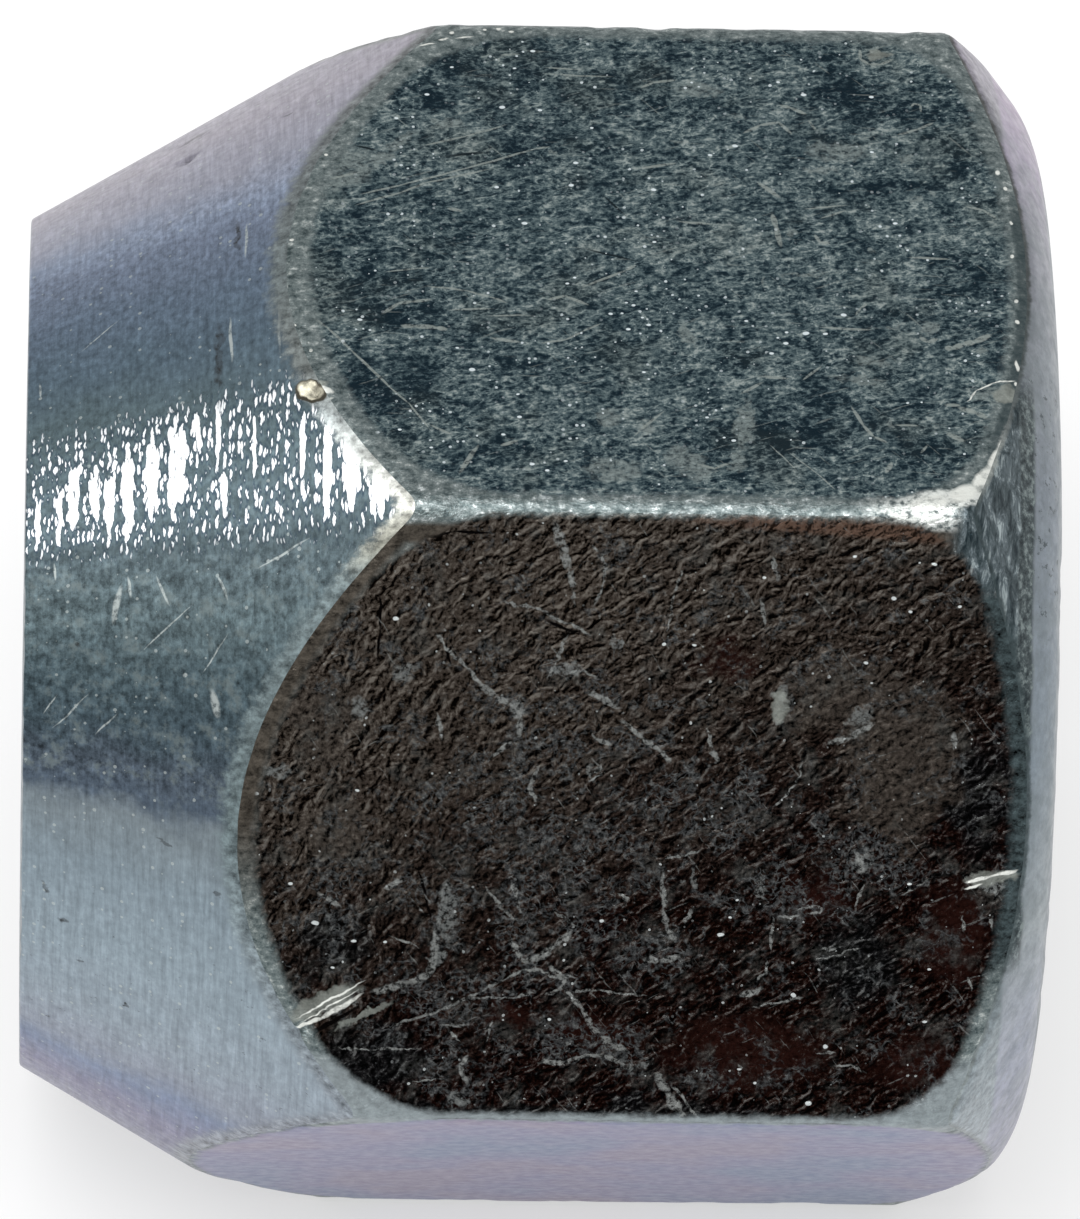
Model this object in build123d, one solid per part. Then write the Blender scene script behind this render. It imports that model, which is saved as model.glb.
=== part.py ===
from build123d import *
import math
import os

# Wheel nut with a conical seat, open at both ends, in millimetres.
# +X runs along the thread axis, from the seat end to the outer end.
# +Z is up, square to the flat that the nut lies on.
# The origin is on the thread axis, half way along the nut.

# Hexagonal body, cold formed: 3/4 inch across flats and 11/16 inch long.
# Its axis is parallel to the thread axis, off it by the forming tool's runout.
nut_length = 17.4625
hex_across_flats = 19.05
hex_edge_radius = 0.45
hex_runout_y = 0.26
hex_runout_z = 0.38

# Seat: a cone turned on the thread axis, which centres the nut in the wheel's stud hole.
seat_angle = 60.0
seat_nose_diameter = 14.8
seat_nose_radius = 0.1
seat_rim_radius = 0.4

# Crown: a shallow cone formed on the hexagon's axis, blended into the outer end face.
crown_angle = 38.0
crown_face_diameter = 17.6
crown_blend_radius = 2.0
crown_rim_radius = 0.4

# Bore for a 1/2-20 UNF thread, cut to the thread's crests, with both mouths countersunk past its roots.
thread_major_diameter = 12.7
thread_minor_diameter = 11.5
countersink_angle = 90.0
countersink_clearance = 0.15

# Worked out from the sizes above.
seat_end = -nut_length / 2
outer_end = nut_length / 2
hex_across_corners = hex_across_flats / math.cos(math.radians(30))
hex_runout = math.hypot(hex_runout_y, hex_runout_z)
cutter_radius = hex_across_corners / 2 + hex_runout + hex_edge_radius
seat_height = (cutter_radius - seat_nose_diameter / 2) / math.tan(math.radians(seat_angle / 2))
crown_height = (cutter_radius - crown_face_diameter / 2) * math.tan(math.radians(crown_angle))
bore_radius = thread_minor_diameter / 2
countersink_radius = thread_major_diameter / 2 + countersink_clearance
countersink_depth = (countersink_radius - bore_radius) / math.tan(math.radians(countersink_angle / 2))


def hexagon_bar():
    """Hexagonal bar with rounded long edges, lying on one of its flats."""
    outline = RegularPolygon(hex_across_flats / 2, 6, major_radius=False)
    outline = fillet(outline.vertices(), hex_edge_radius)
    bar = extrude(Plane.YZ * outline, nut_length)
    return Pos(seat_end, hex_runout_y, hex_runout_z) * bar


def end_form(end_x, end_radius, corner_radius, cone_base_x):
    """Turned form about X: a cone that opens from one end face, then a cylinder clear of the hexagon."""
    end_corner = (end_x, end_radius)
    profile = make_face(
        Polyline(
            (end_x, 0),
            end_corner,
            (cone_base_x, cutter_radius),
            (-end_x, cutter_radius),
            (-end_x, 0),
            close=True,
        )
    )
    rounded = profile.vertices().sort_by_distance(end_corner)[0]
    profile = fillet(rounded, corner_radius)
    return revolve(Plane.XZ * profile, Axis.X)


def seat_form():
    """The seat's cone, true to the thread axis."""
    return end_form(seat_end, seat_nose_diameter / 2, seat_nose_radius, seat_end + seat_height)


def crown_form():
    """The crown's cone, true to the hexagon."""
    form = end_form(outer_end, crown_face_diameter / 2, crown_blend_radius, outer_end - crown_height)
    return Pos(0, hex_runout_y, hex_runout_z) * form


def runout_edges(body, end_index):
    """The scalloped edge where the first (0) or last (-1) cone along X runs out on the flats."""
    cone = body.faces().filter_by(GeomType.CONE).sort_by(Axis.X)[end_index]
    return cone.edges().filter_by(GeomType.CIRCLE, reverse=True)


def blank():
    """The nut before its bore: the hexagon with the seat at one end and the crown at the other."""
    body = hexagon_bar() & seat_form() & crown_form()
    body = fillet(runout_edges(body, 0), seat_rim_radius)
    return fillet(runout_edges(body, -1), crown_rim_radius)


def threaded_bore():
    """What the tap drill and the two countersinks take away."""
    drill = Cylinder(bore_radius, nut_length, rotation=(0, 90, 0))
    to_face = (Align.CENTER, Align.CENTER, Align.MAX)
    mouth = Cone(bore_radius, countersink_radius, countersink_depth, align=to_face)
    outer_mouth = Pos(outer_end, 0, 0) * Rot(0, 90, 0) * mouth
    seat_mouth = mirror(outer_mouth, Plane.YZ)
    return drill + outer_mouth + seat_mouth


os.makedirs("parts", exist_ok=True)
export_step(blank() - threaded_bore(), "parts/lug_nut.step")
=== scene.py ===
import itertools
import math

import bpy
import numpy as np
from mathutils import Matrix, Vector


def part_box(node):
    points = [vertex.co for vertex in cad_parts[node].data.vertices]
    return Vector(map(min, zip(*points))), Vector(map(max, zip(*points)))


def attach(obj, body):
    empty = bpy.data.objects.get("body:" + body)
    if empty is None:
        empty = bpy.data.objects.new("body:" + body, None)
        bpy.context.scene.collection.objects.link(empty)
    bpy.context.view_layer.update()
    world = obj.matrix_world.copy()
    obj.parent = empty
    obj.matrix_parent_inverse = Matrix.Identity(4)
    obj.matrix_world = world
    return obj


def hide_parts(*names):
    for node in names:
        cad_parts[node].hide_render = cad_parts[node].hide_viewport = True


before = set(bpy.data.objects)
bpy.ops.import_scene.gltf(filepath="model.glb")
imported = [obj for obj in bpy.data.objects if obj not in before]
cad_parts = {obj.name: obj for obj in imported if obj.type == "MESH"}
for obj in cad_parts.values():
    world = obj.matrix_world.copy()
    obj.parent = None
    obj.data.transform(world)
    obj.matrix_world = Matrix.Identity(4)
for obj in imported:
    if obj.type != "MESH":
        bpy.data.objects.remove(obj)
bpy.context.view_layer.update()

# The nut's sizes in millimetres, as in the part's source. +X runs along the thread axis to the outer end.
LENGTH, FLATS, EDGE_RADIUS = 17.4625, 19.05, 0.45
RUNOUT_Y, RUNOUT_Z = 0.26, 0.38
SEAT_SLOPE, NOSE_RADIUS, NOSE_CORNER = math.radians(30), 7.4, 0.1
CROWN_SLOPE, FACE_RADIUS, FACE_CORNER = math.radians(38), 8.8, 2.0
RIM_CORNER = 0.5    # as worn; 0.4 when new
MINOR_RADIUS, MAJOR_RADIUS, MOUTH_RADIUS, PITCH = 5.75, 6.35, 6.5, 1.27
MM = 0.001
SIXTY = math.radians(60)
SIDE = FLATS / math.sqrt(3)
SEAT_END, OUTER_END = -LENGTH / 2, LENGTH / 2

# Material slots. The two flats in view are split into windows, along u and down their middle. Each window
# has a slot of its own, so that its shader holds only the marks near it.
THREAD, ENDS, CONE, CROWN, SLIVER, HIDDEN, UPPER = range(7)
FAR = 99    # millimetres, past the end of everything
WINDOW_EDGES = (-FAR, -1.5, 1.5, 4.5, FAR)
WINDOWS = 2 * (len(WINDOW_EDGES) - 1)
LOWER = UPPER + WINDOWS
ZONES = (ENDS, CONE, UPPER, CROWN, ENDS)

# The skin is mapped in millimetres: u runs along X, v round the hexagon from the middle of the upper flat,
# over the visible long edge at SIDE / 2, down the lower flat to 1.5 * SIDE, and on round to the back.
UPPER_EDGE, LOWER_EDGE = SIDE / 2, SIDE * 1.5


# ---------------------------------------------------------------- form

def hexagon(y, z):
    """How far a point is outside the rounded hexagon, and the heading of the nearest surface from +Z."""
    y, z = y - RUNOUT_Y, z - RUNOUT_Z
    heading, reach = np.arctan2(-y, z), np.hypot(y, z)
    sector = np.round(heading / SIXTY) * SIXTY
    out = reach * np.cos(heading - sector) - (FLATS / 2 - EDGE_RADIUS)
    along = reach * np.sin(heading - sector)
    half = (FLATS / 2 - EDGE_RADIUS) * math.tan(SIXTY / 2)
    past = np.sign(along) * np.maximum(np.abs(along) - half, 0)
    distance = np.where(out > 0, np.hypot(out, past), out) - EDGE_RADIUS
    return distance, sector + np.where(out > 0, np.arctan2(past, out), 0)


def rounded(a, b, cosine, radius):
    """The common part of two forms, whose outward directions meet at this cosine, with a rounded corner."""
    a, b = a + radius, b + radius
    corner = (a > b * cosine) & (b > a * cosine) & (np.maximum(a, b) > 0)
    square = np.maximum(a * a + b * b - 2 * a * b * cosine, 0)
    wedge = np.sqrt(square / np.maximum(1 - cosine * cosine, 1e-4))
    return np.where(corner, wedge, np.maximum(a, b)) - radius


def seat_gap(x, y, z):
    """How far a point is outside the seat's cone."""
    return (np.hypot(y, z) - NOSE_RADIUS) * math.cos(SEAT_SLOPE) - (x - SEAT_END) * math.sin(SEAT_SLOPE)


def crown_gap(x, y, z):
    """How far a point is outside the crown's cone."""
    reach = np.hypot(y - RUNOUT_Y, z - RUNOUT_Z)
    return (reach - FACE_RADIUS) * math.sin(CROWN_SLOPE) + (x - OUTER_END) * math.cos(CROWN_SLOPE)


def blank(points):
    """How far points are outside the nut as it is before its bore."""
    x, y, z = points[..., 0], points[..., 1], points[..., 2]
    sides, heading = hexagon(y, z)
    seat = rounded(seat_gap(x, y, z), SEAT_END - x, math.sin(SEAT_SLOPE), NOSE_CORNER)
    face = rounded(crown_gap(x, y, z), x - OUTER_END, math.cos(CROWN_SLOPE), FACE_CORNER)
    to_seat = math.cos(SEAT_SLOPE) * np.cos(heading - np.arctan2(-y, z))
    to_crown = math.sin(CROWN_SLOPE) * np.cos(heading - np.arctan2(RUNOUT_Y - y, z - RUNOUT_Z))
    return rounded(rounded(sides, seat, to_seat, RIM_CORNER), face, to_crown, RIM_CORNER)


def solve(distance, directions, low, high):
    """How far out rays from the origin leave a form, found between low and high by halving."""
    low, high = np.full(directions.shape[:-1], low), np.full(directions.shape[:-1], high)
    for _ in range(32):
        middle = (low + high) / 2
        outside = distance(directions * middle[..., None]) > 0
        low, high = np.where(outside, low, middle), np.where(outside, middle, high)
    return low


def outward(distance, points, step=0.01):
    """The form's outward direction at points."""
    slopes = []
    for axis in range(3):
        shift = np.zeros(3)
        shift[axis] = step
        slopes.append(distance(points + shift) - distance(points - shift))
    slopes = np.stack(slopes, axis=-1)
    return slopes / np.linalg.norm(slopes, axis=-1, keepdims=True)


def columns():
    """v of the skin's columns: close together on the flats in view and over every long edge."""
    hidden, underside, in_view, over_edge, edge_reach = 0.3, 0.2, 0.122, 0.085, 0.4
    v = np.linspace(-3 * SIDE, 3 * SIDE, 6001)
    spacing = np.where((v > -UPPER_EDGE) & (v < LOWER_EDGE), in_view, hidden)
    spacing = np.where((v > LOWER_EDGE) & (v < LOWER_EDGE + SIDE), underside, spacing)
    from_edge = np.abs((v - UPPER_EDGE + SIDE / 2) % SIDE - SIDE / 2)
    spacing = np.where(from_edge < edge_reach, over_edge, spacing)
    total = np.concatenate([[0], np.cumsum((v[1] - v[0]) / spacing[1:])])
    return np.interp(np.arange(int(total[-1])) * total[-1] / int(total[-1]), total, v)


def steps(lengths, count, start, end):
    """Distances along lines of these lengths: count even steps between fixed ones at the start and end."""
    lengths = lengths[:, None]
    even = np.linspace(0, 1, count + 1)[None, :] * (lengths - start[-1] - end[-1]) + start[-1]
    first, last = np.array(start)[None, :-1] + 0 * lengths, lengths - np.array(end)[None, -2:0:-1]
    return np.concatenate([first, even, last], axis=1)


def skin_rays(v):
    """Ray directions for each column and row, and each row's zone, from the seat's face to the outer one."""
    turn = np.round(v / SIDE) * SIXTY
    side = v - np.round(v / SIDE) * SIDE
    y = RUNOUT_Y - np.sin(turn) * FLATS / 2 - np.cos(turn) * side
    z = RUNOUT_Z + np.cos(turn) * FLATS / 2 - np.sin(turn) * side
    across = np.stack([0 * v, y, z], axis=-1)
    across /= np.linalg.norm(across, axis=-1, keepdims=True)
    reach = solve(lambda p: hexagon(p[..., 1], p[..., 2])[0], across, 8.0, 12.5)
    face = solve(lambda p: crown_gap(p[..., 0] + OUTER_END, p[..., 1], p[..., 2]), across, 8.0, 10.0)
    rim = SEAT_END + (reach - NOSE_RADIUS) / math.tan(SEAT_SLOPE)
    from_middle = np.hypot(across[:, 1] * reach - RUNOUT_Y, across[:, 2] * reach - RUNOUT_Z)
    shoulder = OUTER_END - (from_middle - FACE_RADIUS) * math.tan(CROWN_SLOPE)
    same = np.ones_like(v)
    mouth = (MOUTH_RADIUS + 0.08) * same    # the skin stops just short of the bore's mouths
    corners = [(SEAT_END * same, mouth), (SEAT_END * same, NOSE_RADIUS * same), (rim, reach),
               (shoulder, reach), (OUTER_END * same, face), (OUTER_END * same, mouth)]
    # How many even steps each zone has, and the fixed distances at its start and its end.
    tight, soft, none = (0, 0.03, 0.06, 0.11), (0, 0.05, 0.1, 0.15, 0.22), (0,)
    plan = [(4, none, tight), (42, tight, soft), (98, soft, soft), (12, soft, none), (16, none, none)]
    xs, rs, zones = [], [], []
    for zone, ((x0, r0), (x1, r1), (count, start, end)) in enumerate(zip(corners, corners[1:], plan)):
        lengths = np.hypot(x1 - x0, r1 - r0)
        share = steps(lengths, count, start, end) / lengths[:, None]
        if zone < len(plan) - 1:
            share = share[:, :-1]
        xs.append(x0[:, None] + (x1 - x0)[:, None] * share)
        rs.append(r0[:, None] + (r1 - r0)[:, None] * share)
        zones += [zone] * share.shape[1]
    x, r = np.concatenate(xs, axis=1), np.concatenate(rs, axis=1)
    rays = np.stack([x, r * across[:, 1:2], r * across[:, 2:3]], axis=-1)
    return rays / np.linalg.norm(rays, axis=-1, keepdims=True), np.array(zones)


def bore_rings(count=96):
    """The thread and its two countersinks, in columns round the axis whose rows follow the helix."""
    depth = MAJOR_RADIUS - MINOR_RADIUS
    groove, flank = 0.125, depth / math.tan(SIXTY) / PITCH    # widths in pitches
    corner = [0, 1 - groove - 2 * flank, 1 - groove - flank, 1 - flank, 1]
    inner, outer = 0.01, 0.02    # how far rows stand from the corners, in pitches
    rows = [corner[0], corner[1] - outer, corner[1] + outer, (corner[1] + corner[2]) / 2, corner[2] - inner,
            corner[2] + outer, corner[3] - outer, corner[3] + inner, (corner[3] + 1) / 2, 1 - outer]
    heights = np.interp(rows, corner, [0, 0, 1, 1, 0])
    turns = math.ceil(LENGTH / PITCH) + 1
    along = np.concatenate([(np.array(rows) + k) * PITCH for k in range(turns)]) + SEAT_END - PITCH
    height = np.tile(heights, turns) * depth + MINOR_RADIUS
    turn = np.arange(count) / count
    x = np.clip(along[None, :] + turn[:, None] * PITCH, SEAT_END, OUTER_END)
    chamfer = MOUTH_RADIUS - np.minimum(x - SEAT_END, OUTER_END - x)
    radius = np.maximum(height[None, :] + 0 * x, chamfer)
    angle = turn[:, None] * 2 * math.pi + 0 * x
    return np.stack([x, -radius * np.sin(angle), radius * np.cos(angle)], axis=-1), len(rows)


# ---------------------------------------------------------------- wear in the form

CELLS = 32
LATTICE = np.random.default_rng(7).random((CELLS, CELLS, CELLS))


def lumps(points, size):
    """Smooth noise from 0 to 1, whose lumps are about this many millimetres across."""
    q = points / size + 500
    cell = np.floor(q).astype(int)
    share = q - cell
    share = share * share * (3 - 2 * share)
    value = np.zeros(points.shape[:-1])
    for corner in itertools.product((0, 1), repeat=3):
        weight = np.prod(np.where(np.array(corner) == 1, share, 1 - share), axis=-1)
        at = (cell + corner) % CELLS
        value += weight * LATTICE[at[..., 0], at[..., 1], at[..., 2]]
    return value


def near(value, middle, half, soft):
    """1 within half of the middle, fading to 0 over soft."""
    return np.clip((half + soft - np.abs(value - middle)) / soft, 0, 1)


# Dents and nicks: u, v, length, width and depth in millimetres, and the angle from +X towards +v.
DENTS = [
    (-3.75, 14.75, 1.25, 0.26, 0.16, -38),
    (7.75, 12.05, 0.9, 0.2, 0.12, -12),
    (-3.95, 3.0, 0.5, 0.32, 0.12, 30),
    (7.2, 2.6, 0.8, 0.36, 0.07, -25),
    (-6.05, -5.2, 0.6, 0.22, 0.1, 90),
    (0.1, 6.9, 1.2, 0.22, 0.05, 78),
]


def wear(u, v, points):
    """How deep the skin is worn, in millimetres. It only goes inward."""
    on_lower = near(v, UPPER_EDGE + SIDE / 2, SIDE / 2 - 0.5, 0.4)
    skew = math.radians(25)
    along, across = u * math.cos(skew) - v * math.sin(skew), u * math.sin(skew) + v * math.cos(skew)
    grain = np.stack([along / 1.9, across, 0 * u], axis=-1)
    folds = 1 - np.abs(2 * lumps(grain, 0.42) - 1) * 0.7 - np.abs(2 * lumps(grain + 40, 0.8) - 1) * 0.3
    sides = hexagon(points[..., 1], points[..., 2])[0]
    to_edge = np.abs((v - UPPER_EDGE + SIDE / 2) % SIDE - SIDE / 2) + 9 * np.abs(sides)
    to_rim = [np.hypot(sides, cut(*np.moveaxis(points, -1, 0))) for cut in (seat_gap, crown_gap)]
    rims = near(np.minimum(*to_rim), 0, 0.05, 0.12) + near(to_edge, 0, 0.12, 0.3)
    chips = np.clip(lumps(points, 0.5) + 0.5 * lumps(points + 30, 0.25) - 0.75, 0, 1)
    depth = 0.02 * lumps(points, 2.6) + on_lower * 0.03 * folds + 0.09 * np.minimum(rims, 1) * chips
    for du, dv, length, width, deep, angle in DENTS:
        c, s = math.cos(math.radians(angle)), math.sin(math.radians(angle))
        a, b = ((u - du) * c + (v - dv) * s) / (length / 2), ((v - dv) * c - (u - du) * s) / (width / 2)
        depth += deep * np.clip(1 - np.hypot(a, b) ** 1.5, 0, 1)
    return depth


# ---------------------------------------------------------------- mesh

def grid_faces(index, flip):
    """Faces between neighbouring lines of an index table. Repeated corners make triangles or nothing."""
    a, b, c, d = index[:-1, :-1], index[1:, :-1], index[1:, 1:], index[:-1, 1:]
    quads = np.stack([a, b, c, d] if not flip else [a, d, c, b], axis=-1).reshape(-1, 4)
    faces = []
    for quad in quads.tolist():
        face = [k for i, k in enumerate(quad) if k != quad[i - 1]]
        if len(set(face)) > 2:
            faces.append(face)
    return faces


def zip_rings(outer, inner, points, flip):
    """Triangles between two rings that run the same way round X."""
    def ordered(ring):
        turn = np.arctan2(-points[ring, 1], points[ring, 2]) % (2 * math.pi)
        order = np.argsort(turn)
        return ring[order].tolist(), turn[order].tolist()
    (a, a_turn), (b, b_turn) = ordered(outer), ordered(inner)
    a_turn, b_turn = a_turn + [a_turn[0] + 2 * math.pi], b_turn + [b_turn[0] + 2 * math.pi]
    faces, i, j = [], 0, 0
    while i < len(a) or j < len(b):
        if j == len(b) or (i < len(a) and a_turn[i + 1] < b_turn[j + 1]):
            faces.append([a[i % len(a)], b[j % len(b)], a[(i + 1) % len(a)]])
            i += 1
        else:
            faces.append([a[i % len(a)], b[j % len(b)], b[(j + 1) % len(b)]])
            j += 1
    return [face[::-1] if flip else face for face in faces]


def build_nut():
    """One closed mesh: the worn skin, and the threaded bore joined to it at both mouths."""
    v = columns()
    rays, zones = skin_rays(v)
    points = rays * solve(blank, rays, 6.0, 15.0)[..., None]
    u, across = points[..., 0], v[:, None] + 0 * points[..., 0]
    from_axis = np.hypot(points[..., 1], points[..., 2])
    unworn, full = MOUTH_RADIUS + 0.1, MOUTH_RADIUS + 0.4
    depth = wear(u, across, points) * np.clip((from_axis - unworn) / (full - unworn), 0, 1)
    worn = points - outward(blank, points) * depth[..., None]
    bore, pitch_rows = bore_rings()

    skin_index = np.arange(worn[..., 0].size).reshape(worn.shape[:2])
    faces = grid_faces(np.concatenate([skin_index, skin_index[:1]]), False)
    skin_faces = len(faces)

    count, rows = bore.shape[:2]
    low = np.sum(bore[..., 0] <= SEAT_END, axis=1) - 1
    high = rows - np.sum(bore[..., 0] >= OUTER_END, axis=1)

    def bore_index(column, row):
        return skin_index.size + column * rows + np.clip(row, low[column], high[column])

    every = np.arange(-pitch_rows, rows)
    table = [bore_index(c, every) for c in range(count)] + [bore_index(0, every + pitch_rows)]
    faces += grid_faces(np.array(table), True)
    points_all = np.concatenate([worn.reshape(-1, 3), bore.reshape(-1, 3)])
    ring = np.arange(count)
    faces += zip_rings(skin_index[:, 0], bore_index(ring, low), points_all, False)
    faces += zip_rings(skin_index[:, -1], bore_index(ring, high), points_all, True)

    used = np.unique(np.concatenate([np.array(f) for f in faces]))
    renumber = np.zeros(len(points_all), int)
    renumber[used] = np.arange(len(used))
    mesh = bpy.data.meshes.new("nut")
    mesh.from_pydata((points_all[used] * MM).tolist(), [], [renumber[f].tolist() for f in faces])
    mesh.validate()
    x, y, z = points.reshape(-1, 3).T
    gaps = {"seat_gap": seat_gap(x, y, z), "crown_gap": crown_gap(x, y, z), "side_gap": hexagon(y, z)[0]}
    for name, gaps_here in gaps.items():
        values = np.full(len(points_all), -9.0)    # the bore counts as deep inside
        values[:skin_index.size] = gaps_here
        mesh.attributes.new(name, "FLOAT", "POINT").data.foreach_set("value", values[used])
    all_v = np.zeros(len(points_all))
    all_v[:skin_index.size] = across.ravel()
    map_skin(mesh, points_all[used, 0], all_v[used])
    kinds = slots(u, v, zones)[:, :-1].ravel()
    for polygon in mesh.polygons:
        polygon.material_index = int(kinds[polygon.index]) if polygon.index < skin_faces else THREAD
    mesh.shade_smooth()
    return mesh


def slots(u, v, zones):
    """The material slot of each point of the skin."""
    side = np.clip(np.floor((v + SIDE / 2) / SIDE), -1, 3).astype(int) % 4
    past_middle = (v + SIDE / 2) % SIDE > SIDE / 2
    window = 2 * (np.digitize(u, WINDOW_EDGES) - 1) + past_middle[:, None]
    flats = np.array([UPPER, LOWER, SLIVER, HIDDEN])[side][:, None] + (side < 2)[:, None] * window
    return np.where(zones[None, :] == ZONES.index(UPPER), flats, np.array(ZONES)[zones][None, :])


def map_skin(mesh, u, v):
    """The skin's u and v in millimetres, as a map that closes under the nut."""
    corners = np.zeros(len(mesh.loops), int)
    mesh.loops.foreach_get("vertex_index", corners)
    starts = np.array([p.loop_start for p in mesh.polygons])
    high = np.maximum.reduceat(v[corners], starts)
    low = np.minimum.reduceat(v[corners], starts)
    wraps = np.repeat(high - low > 3 * SIDE, np.diff(np.append(starts, len(corners))))
    closed = v[corners] + np.where(wraps & (v[corners] < 0), 6 * SIDE, 0)
    layer = mesh.uv_layers.new(name="skin")
    layer.data.foreach_set("uv", np.stack([u[corners], closed], axis=-1).ravel())


# ---------------------------------------------------------------- materials

class Nodes:
    """Adds nodes to a material, each linked to what it reads."""

    def __init__(self, name, window=None):
        self.window = window
        self.material = bpy.data.materials.new(name)
        self.material.use_nodes = True
        self.tree = self.material.node_tree
        self.shader = self.tree.nodes["Principled BSDF"]

    def link(self, socket, value):
        if isinstance(value, bpy.types.NodeSocket):
            self.tree.links.new(value, socket)
        elif isinstance(value, (tuple, list)) and len(value) == 3 and socket.type == "RGBA":
            socket.default_value = (*value, 1)
        else:
            socket.default_value = value

    def add(self, kind, inputs, **settings):
        node = self.tree.nodes.new(kind)
        for name, value in settings.items():
            setattr(node, name, value)
        for name, value in inputs.items():
            self.link(node.inputs[name], value)
        return node

    def math(self, operation, *values):
        return self.add("ShaderNodeMath", dict(enumerate(values)), operation=operation).outputs[0]

    def times(self, a, b):
        return self.math("MULTIPLY", a, b)

    def scaled(self, a, factor, offset):
        return self.math("MULTIPLY_ADD", a, factor, offset)

    def plus(self, a, b):
        return self.math("ADD", a, b)

    def less(self, a, b):
        return self.math("SUBTRACT", a, b)

    def most(self, a, b):
        return self.math("MAXIMUM", a, b)

    def least(self, a, b):
        return self.math("MINIMUM", a, b)

    def vector(self, operation, *values):
        node = self.add("ShaderNodeVectorMath", dict(enumerate(values)), operation=operation)
        return node.outputs["Value" if operation in ("LENGTH", "DOT_PRODUCT") else "Vector"]

    def mix(self, factor, a, b):
        return self.add("ShaderNodeMix", {0: factor, 6: a, 7: b}, data_type="RGBA").outputs[2]

    def mix_value(self, factor, a, b):
        return self.add("ShaderNodeMix", {0: factor, 2: a, 3: b}, data_type="FLOAT").outputs[0]

    def span(self, value, low, high, start=0.0, end=1.0):
        """start below low, end above high, smooth between."""
        inputs = {"Value": value, "From Min": low, "From Max": high, "To Min": start, "To Max": end}
        return self.add("ShaderNodeMapRange", inputs, interpolation_type="SMOOTHSTEP").outputs[0]

    def band(self, value, low, high, soft):
        """1 from low to high, fading to 0 over soft outside."""
        rise = self.span(value, self.less(low, soft), low)
        return self.times(rise, self.span(value, high, high + soft, 1.0, 0.0))

    def noise(self, vector, scale, detail=4.0, rough=0.6, stretch=(1, 1, 1), twist=0.0):
        if tuple(stretch) != (1, 1, 1):
            vector = self.vector("MULTIPLY", vector, stretch)
        inputs = {"Vector": vector, "Scale": scale, "Detail": detail, "Roughness": rough,
                  "Distortion": twist}
        return self.add("ShaderNodeTexNoise", inputs).outputs[0]

    def bend(self, vector, scale, reach):
        """The same coordinates, shifted unevenly: by up to reach, and mostly by less than half of it."""
        noise = self.add("ShaderNodeTexNoise", {"Vector": vector, "Scale": scale, "Detail": 3.0})
        shift = self.vector("SUBTRACT", noise.outputs["Color"], (0.5, 0.5, 0.5))
        return self.vector("ADD", vector, self.vector("MULTIPLY", shift, (2 * reach, 2 * reach, 0)))

    def ramp(self, value, stops):
        node = self.add("ShaderNodeValToRGB", {0: value})
        points = node.color_ramp.elements
        while len(points) < len(stops):
            points.new(0.5)
        for point, (at, tone) in zip(points, stops):
            point.position, point.color = at, (*tone, 1)
        return node.outputs[0]


def floor_material():
    """A pale matt floor, near white in the picture and in the plate, that keeps the nut's shadow."""
    n = Nodes("floor")
    cloud = n.noise(n.add("ShaderNodeTexCoord", {}).outputs["Object"], 9.0)
    n.link(n.shader.inputs["Base Color"], n.mix(cloud, (0.93, 0.93, 0.93), (0.96, 0.96, 0.96)))
    n.link(n.shader.inputs["Roughness"], 0.9)
    path = n.add("ShaderNodeLightPath", {})
    seen = n.most(path.outputs["Is Camera Ray"], path.outputs["Is Glossy Ray"])
    seen = n.most(seen, path.outputs["Is Transmission Ray"])
    white = n.add("ShaderNodeEmission", {"Color": (1, 1, 1), "Strength": 1.0})
    both = n.add("ShaderNodeMixShader", {0: n.times(seen, 0.5)})
    n.link(both.inputs[1], n.shader.outputs[0])
    n.link(both.inputs[2], white.outputs[0])
    n.link(n.tree.nodes["Material Output"].inputs["Surface"], both.outputs[0])
    return n.material


def round_to(hidden, *stops):
    """Colours by heading in degrees, from +Z down the side in view. They meet in one colour out of sight."""
    return [(-180, hidden), (-110, hidden), *stops, (180, hidden)]


# Painted reflections: these tones by heading stand in for the surroundings mirrored in the cone, lilac
# towards the back, dark blue through the middle, and pale past the sharp step at 59.7 degrees, where the
# floor is mirrored.
CONE_REFLECTION_TONES = round_to(
    (0.27, 0.285, 0.32), (-60, (0.29, 0.27, 0.33)), (-38, (0.33, 0.31, 0.365)),
    (-24, (0.32, 0.33, 0.4)), (-17, (0.25, 0.3, 0.4)), (-13, (0.18, 0.22, 0.3)),
    (-4, (0.13, 0.175, 0.235)), (4, (0.105, 0.15, 0.19)), (12, (0.1, 0.14, 0.155)),
    (30, (0.1, 0.135, 0.15)), (36, (0.12, 0.165, 0.18)), (43, (0.082, 0.12, 0.138)),
    (50, (0.066, 0.097, 0.118)), (54, (0.085, 0.11, 0.14)), (58, (0.09, 0.12, 0.16)),
    (59.7, (0.2, 0.24, 0.265)), (68, (0.225, 0.28, 0.32)), (80, (0.27, 0.33, 0.375)),
    (92, (0.29, 0.34, 0.39)), (99, (0.27, 0.3, 0.36)), (103, (0.2, 0.245, 0.35)),
    (112, (0.22, 0.215, 0.31)))
# Painted reflections round the seat's rim, with a painted highlight from about 18 to 30.5 degrees.
RIM_REFLECTION_TONES = round_to(
    (0.2, 0.21, 0.22), (-60, (0.19, 0.18, 0.19)), (-25, (0.195, 0.21, 0.215)),
    (0, (0.165, 0.195, 0.2)), (13, (0.19, 0.21, 0.205)), (18, (0.5, 0.55, 0.55)),
    (26, (0.72, 0.73, 0.68)), (30.5, (0.45, 0.45, 0.38)), (34, (0.2, 0.25, 0.26)),
    (58, (0.15, 0.195, 0.205)), (70, (0.2, 0.245, 0.265)), (100, (0.26, 0.28, 0.32)))
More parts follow.
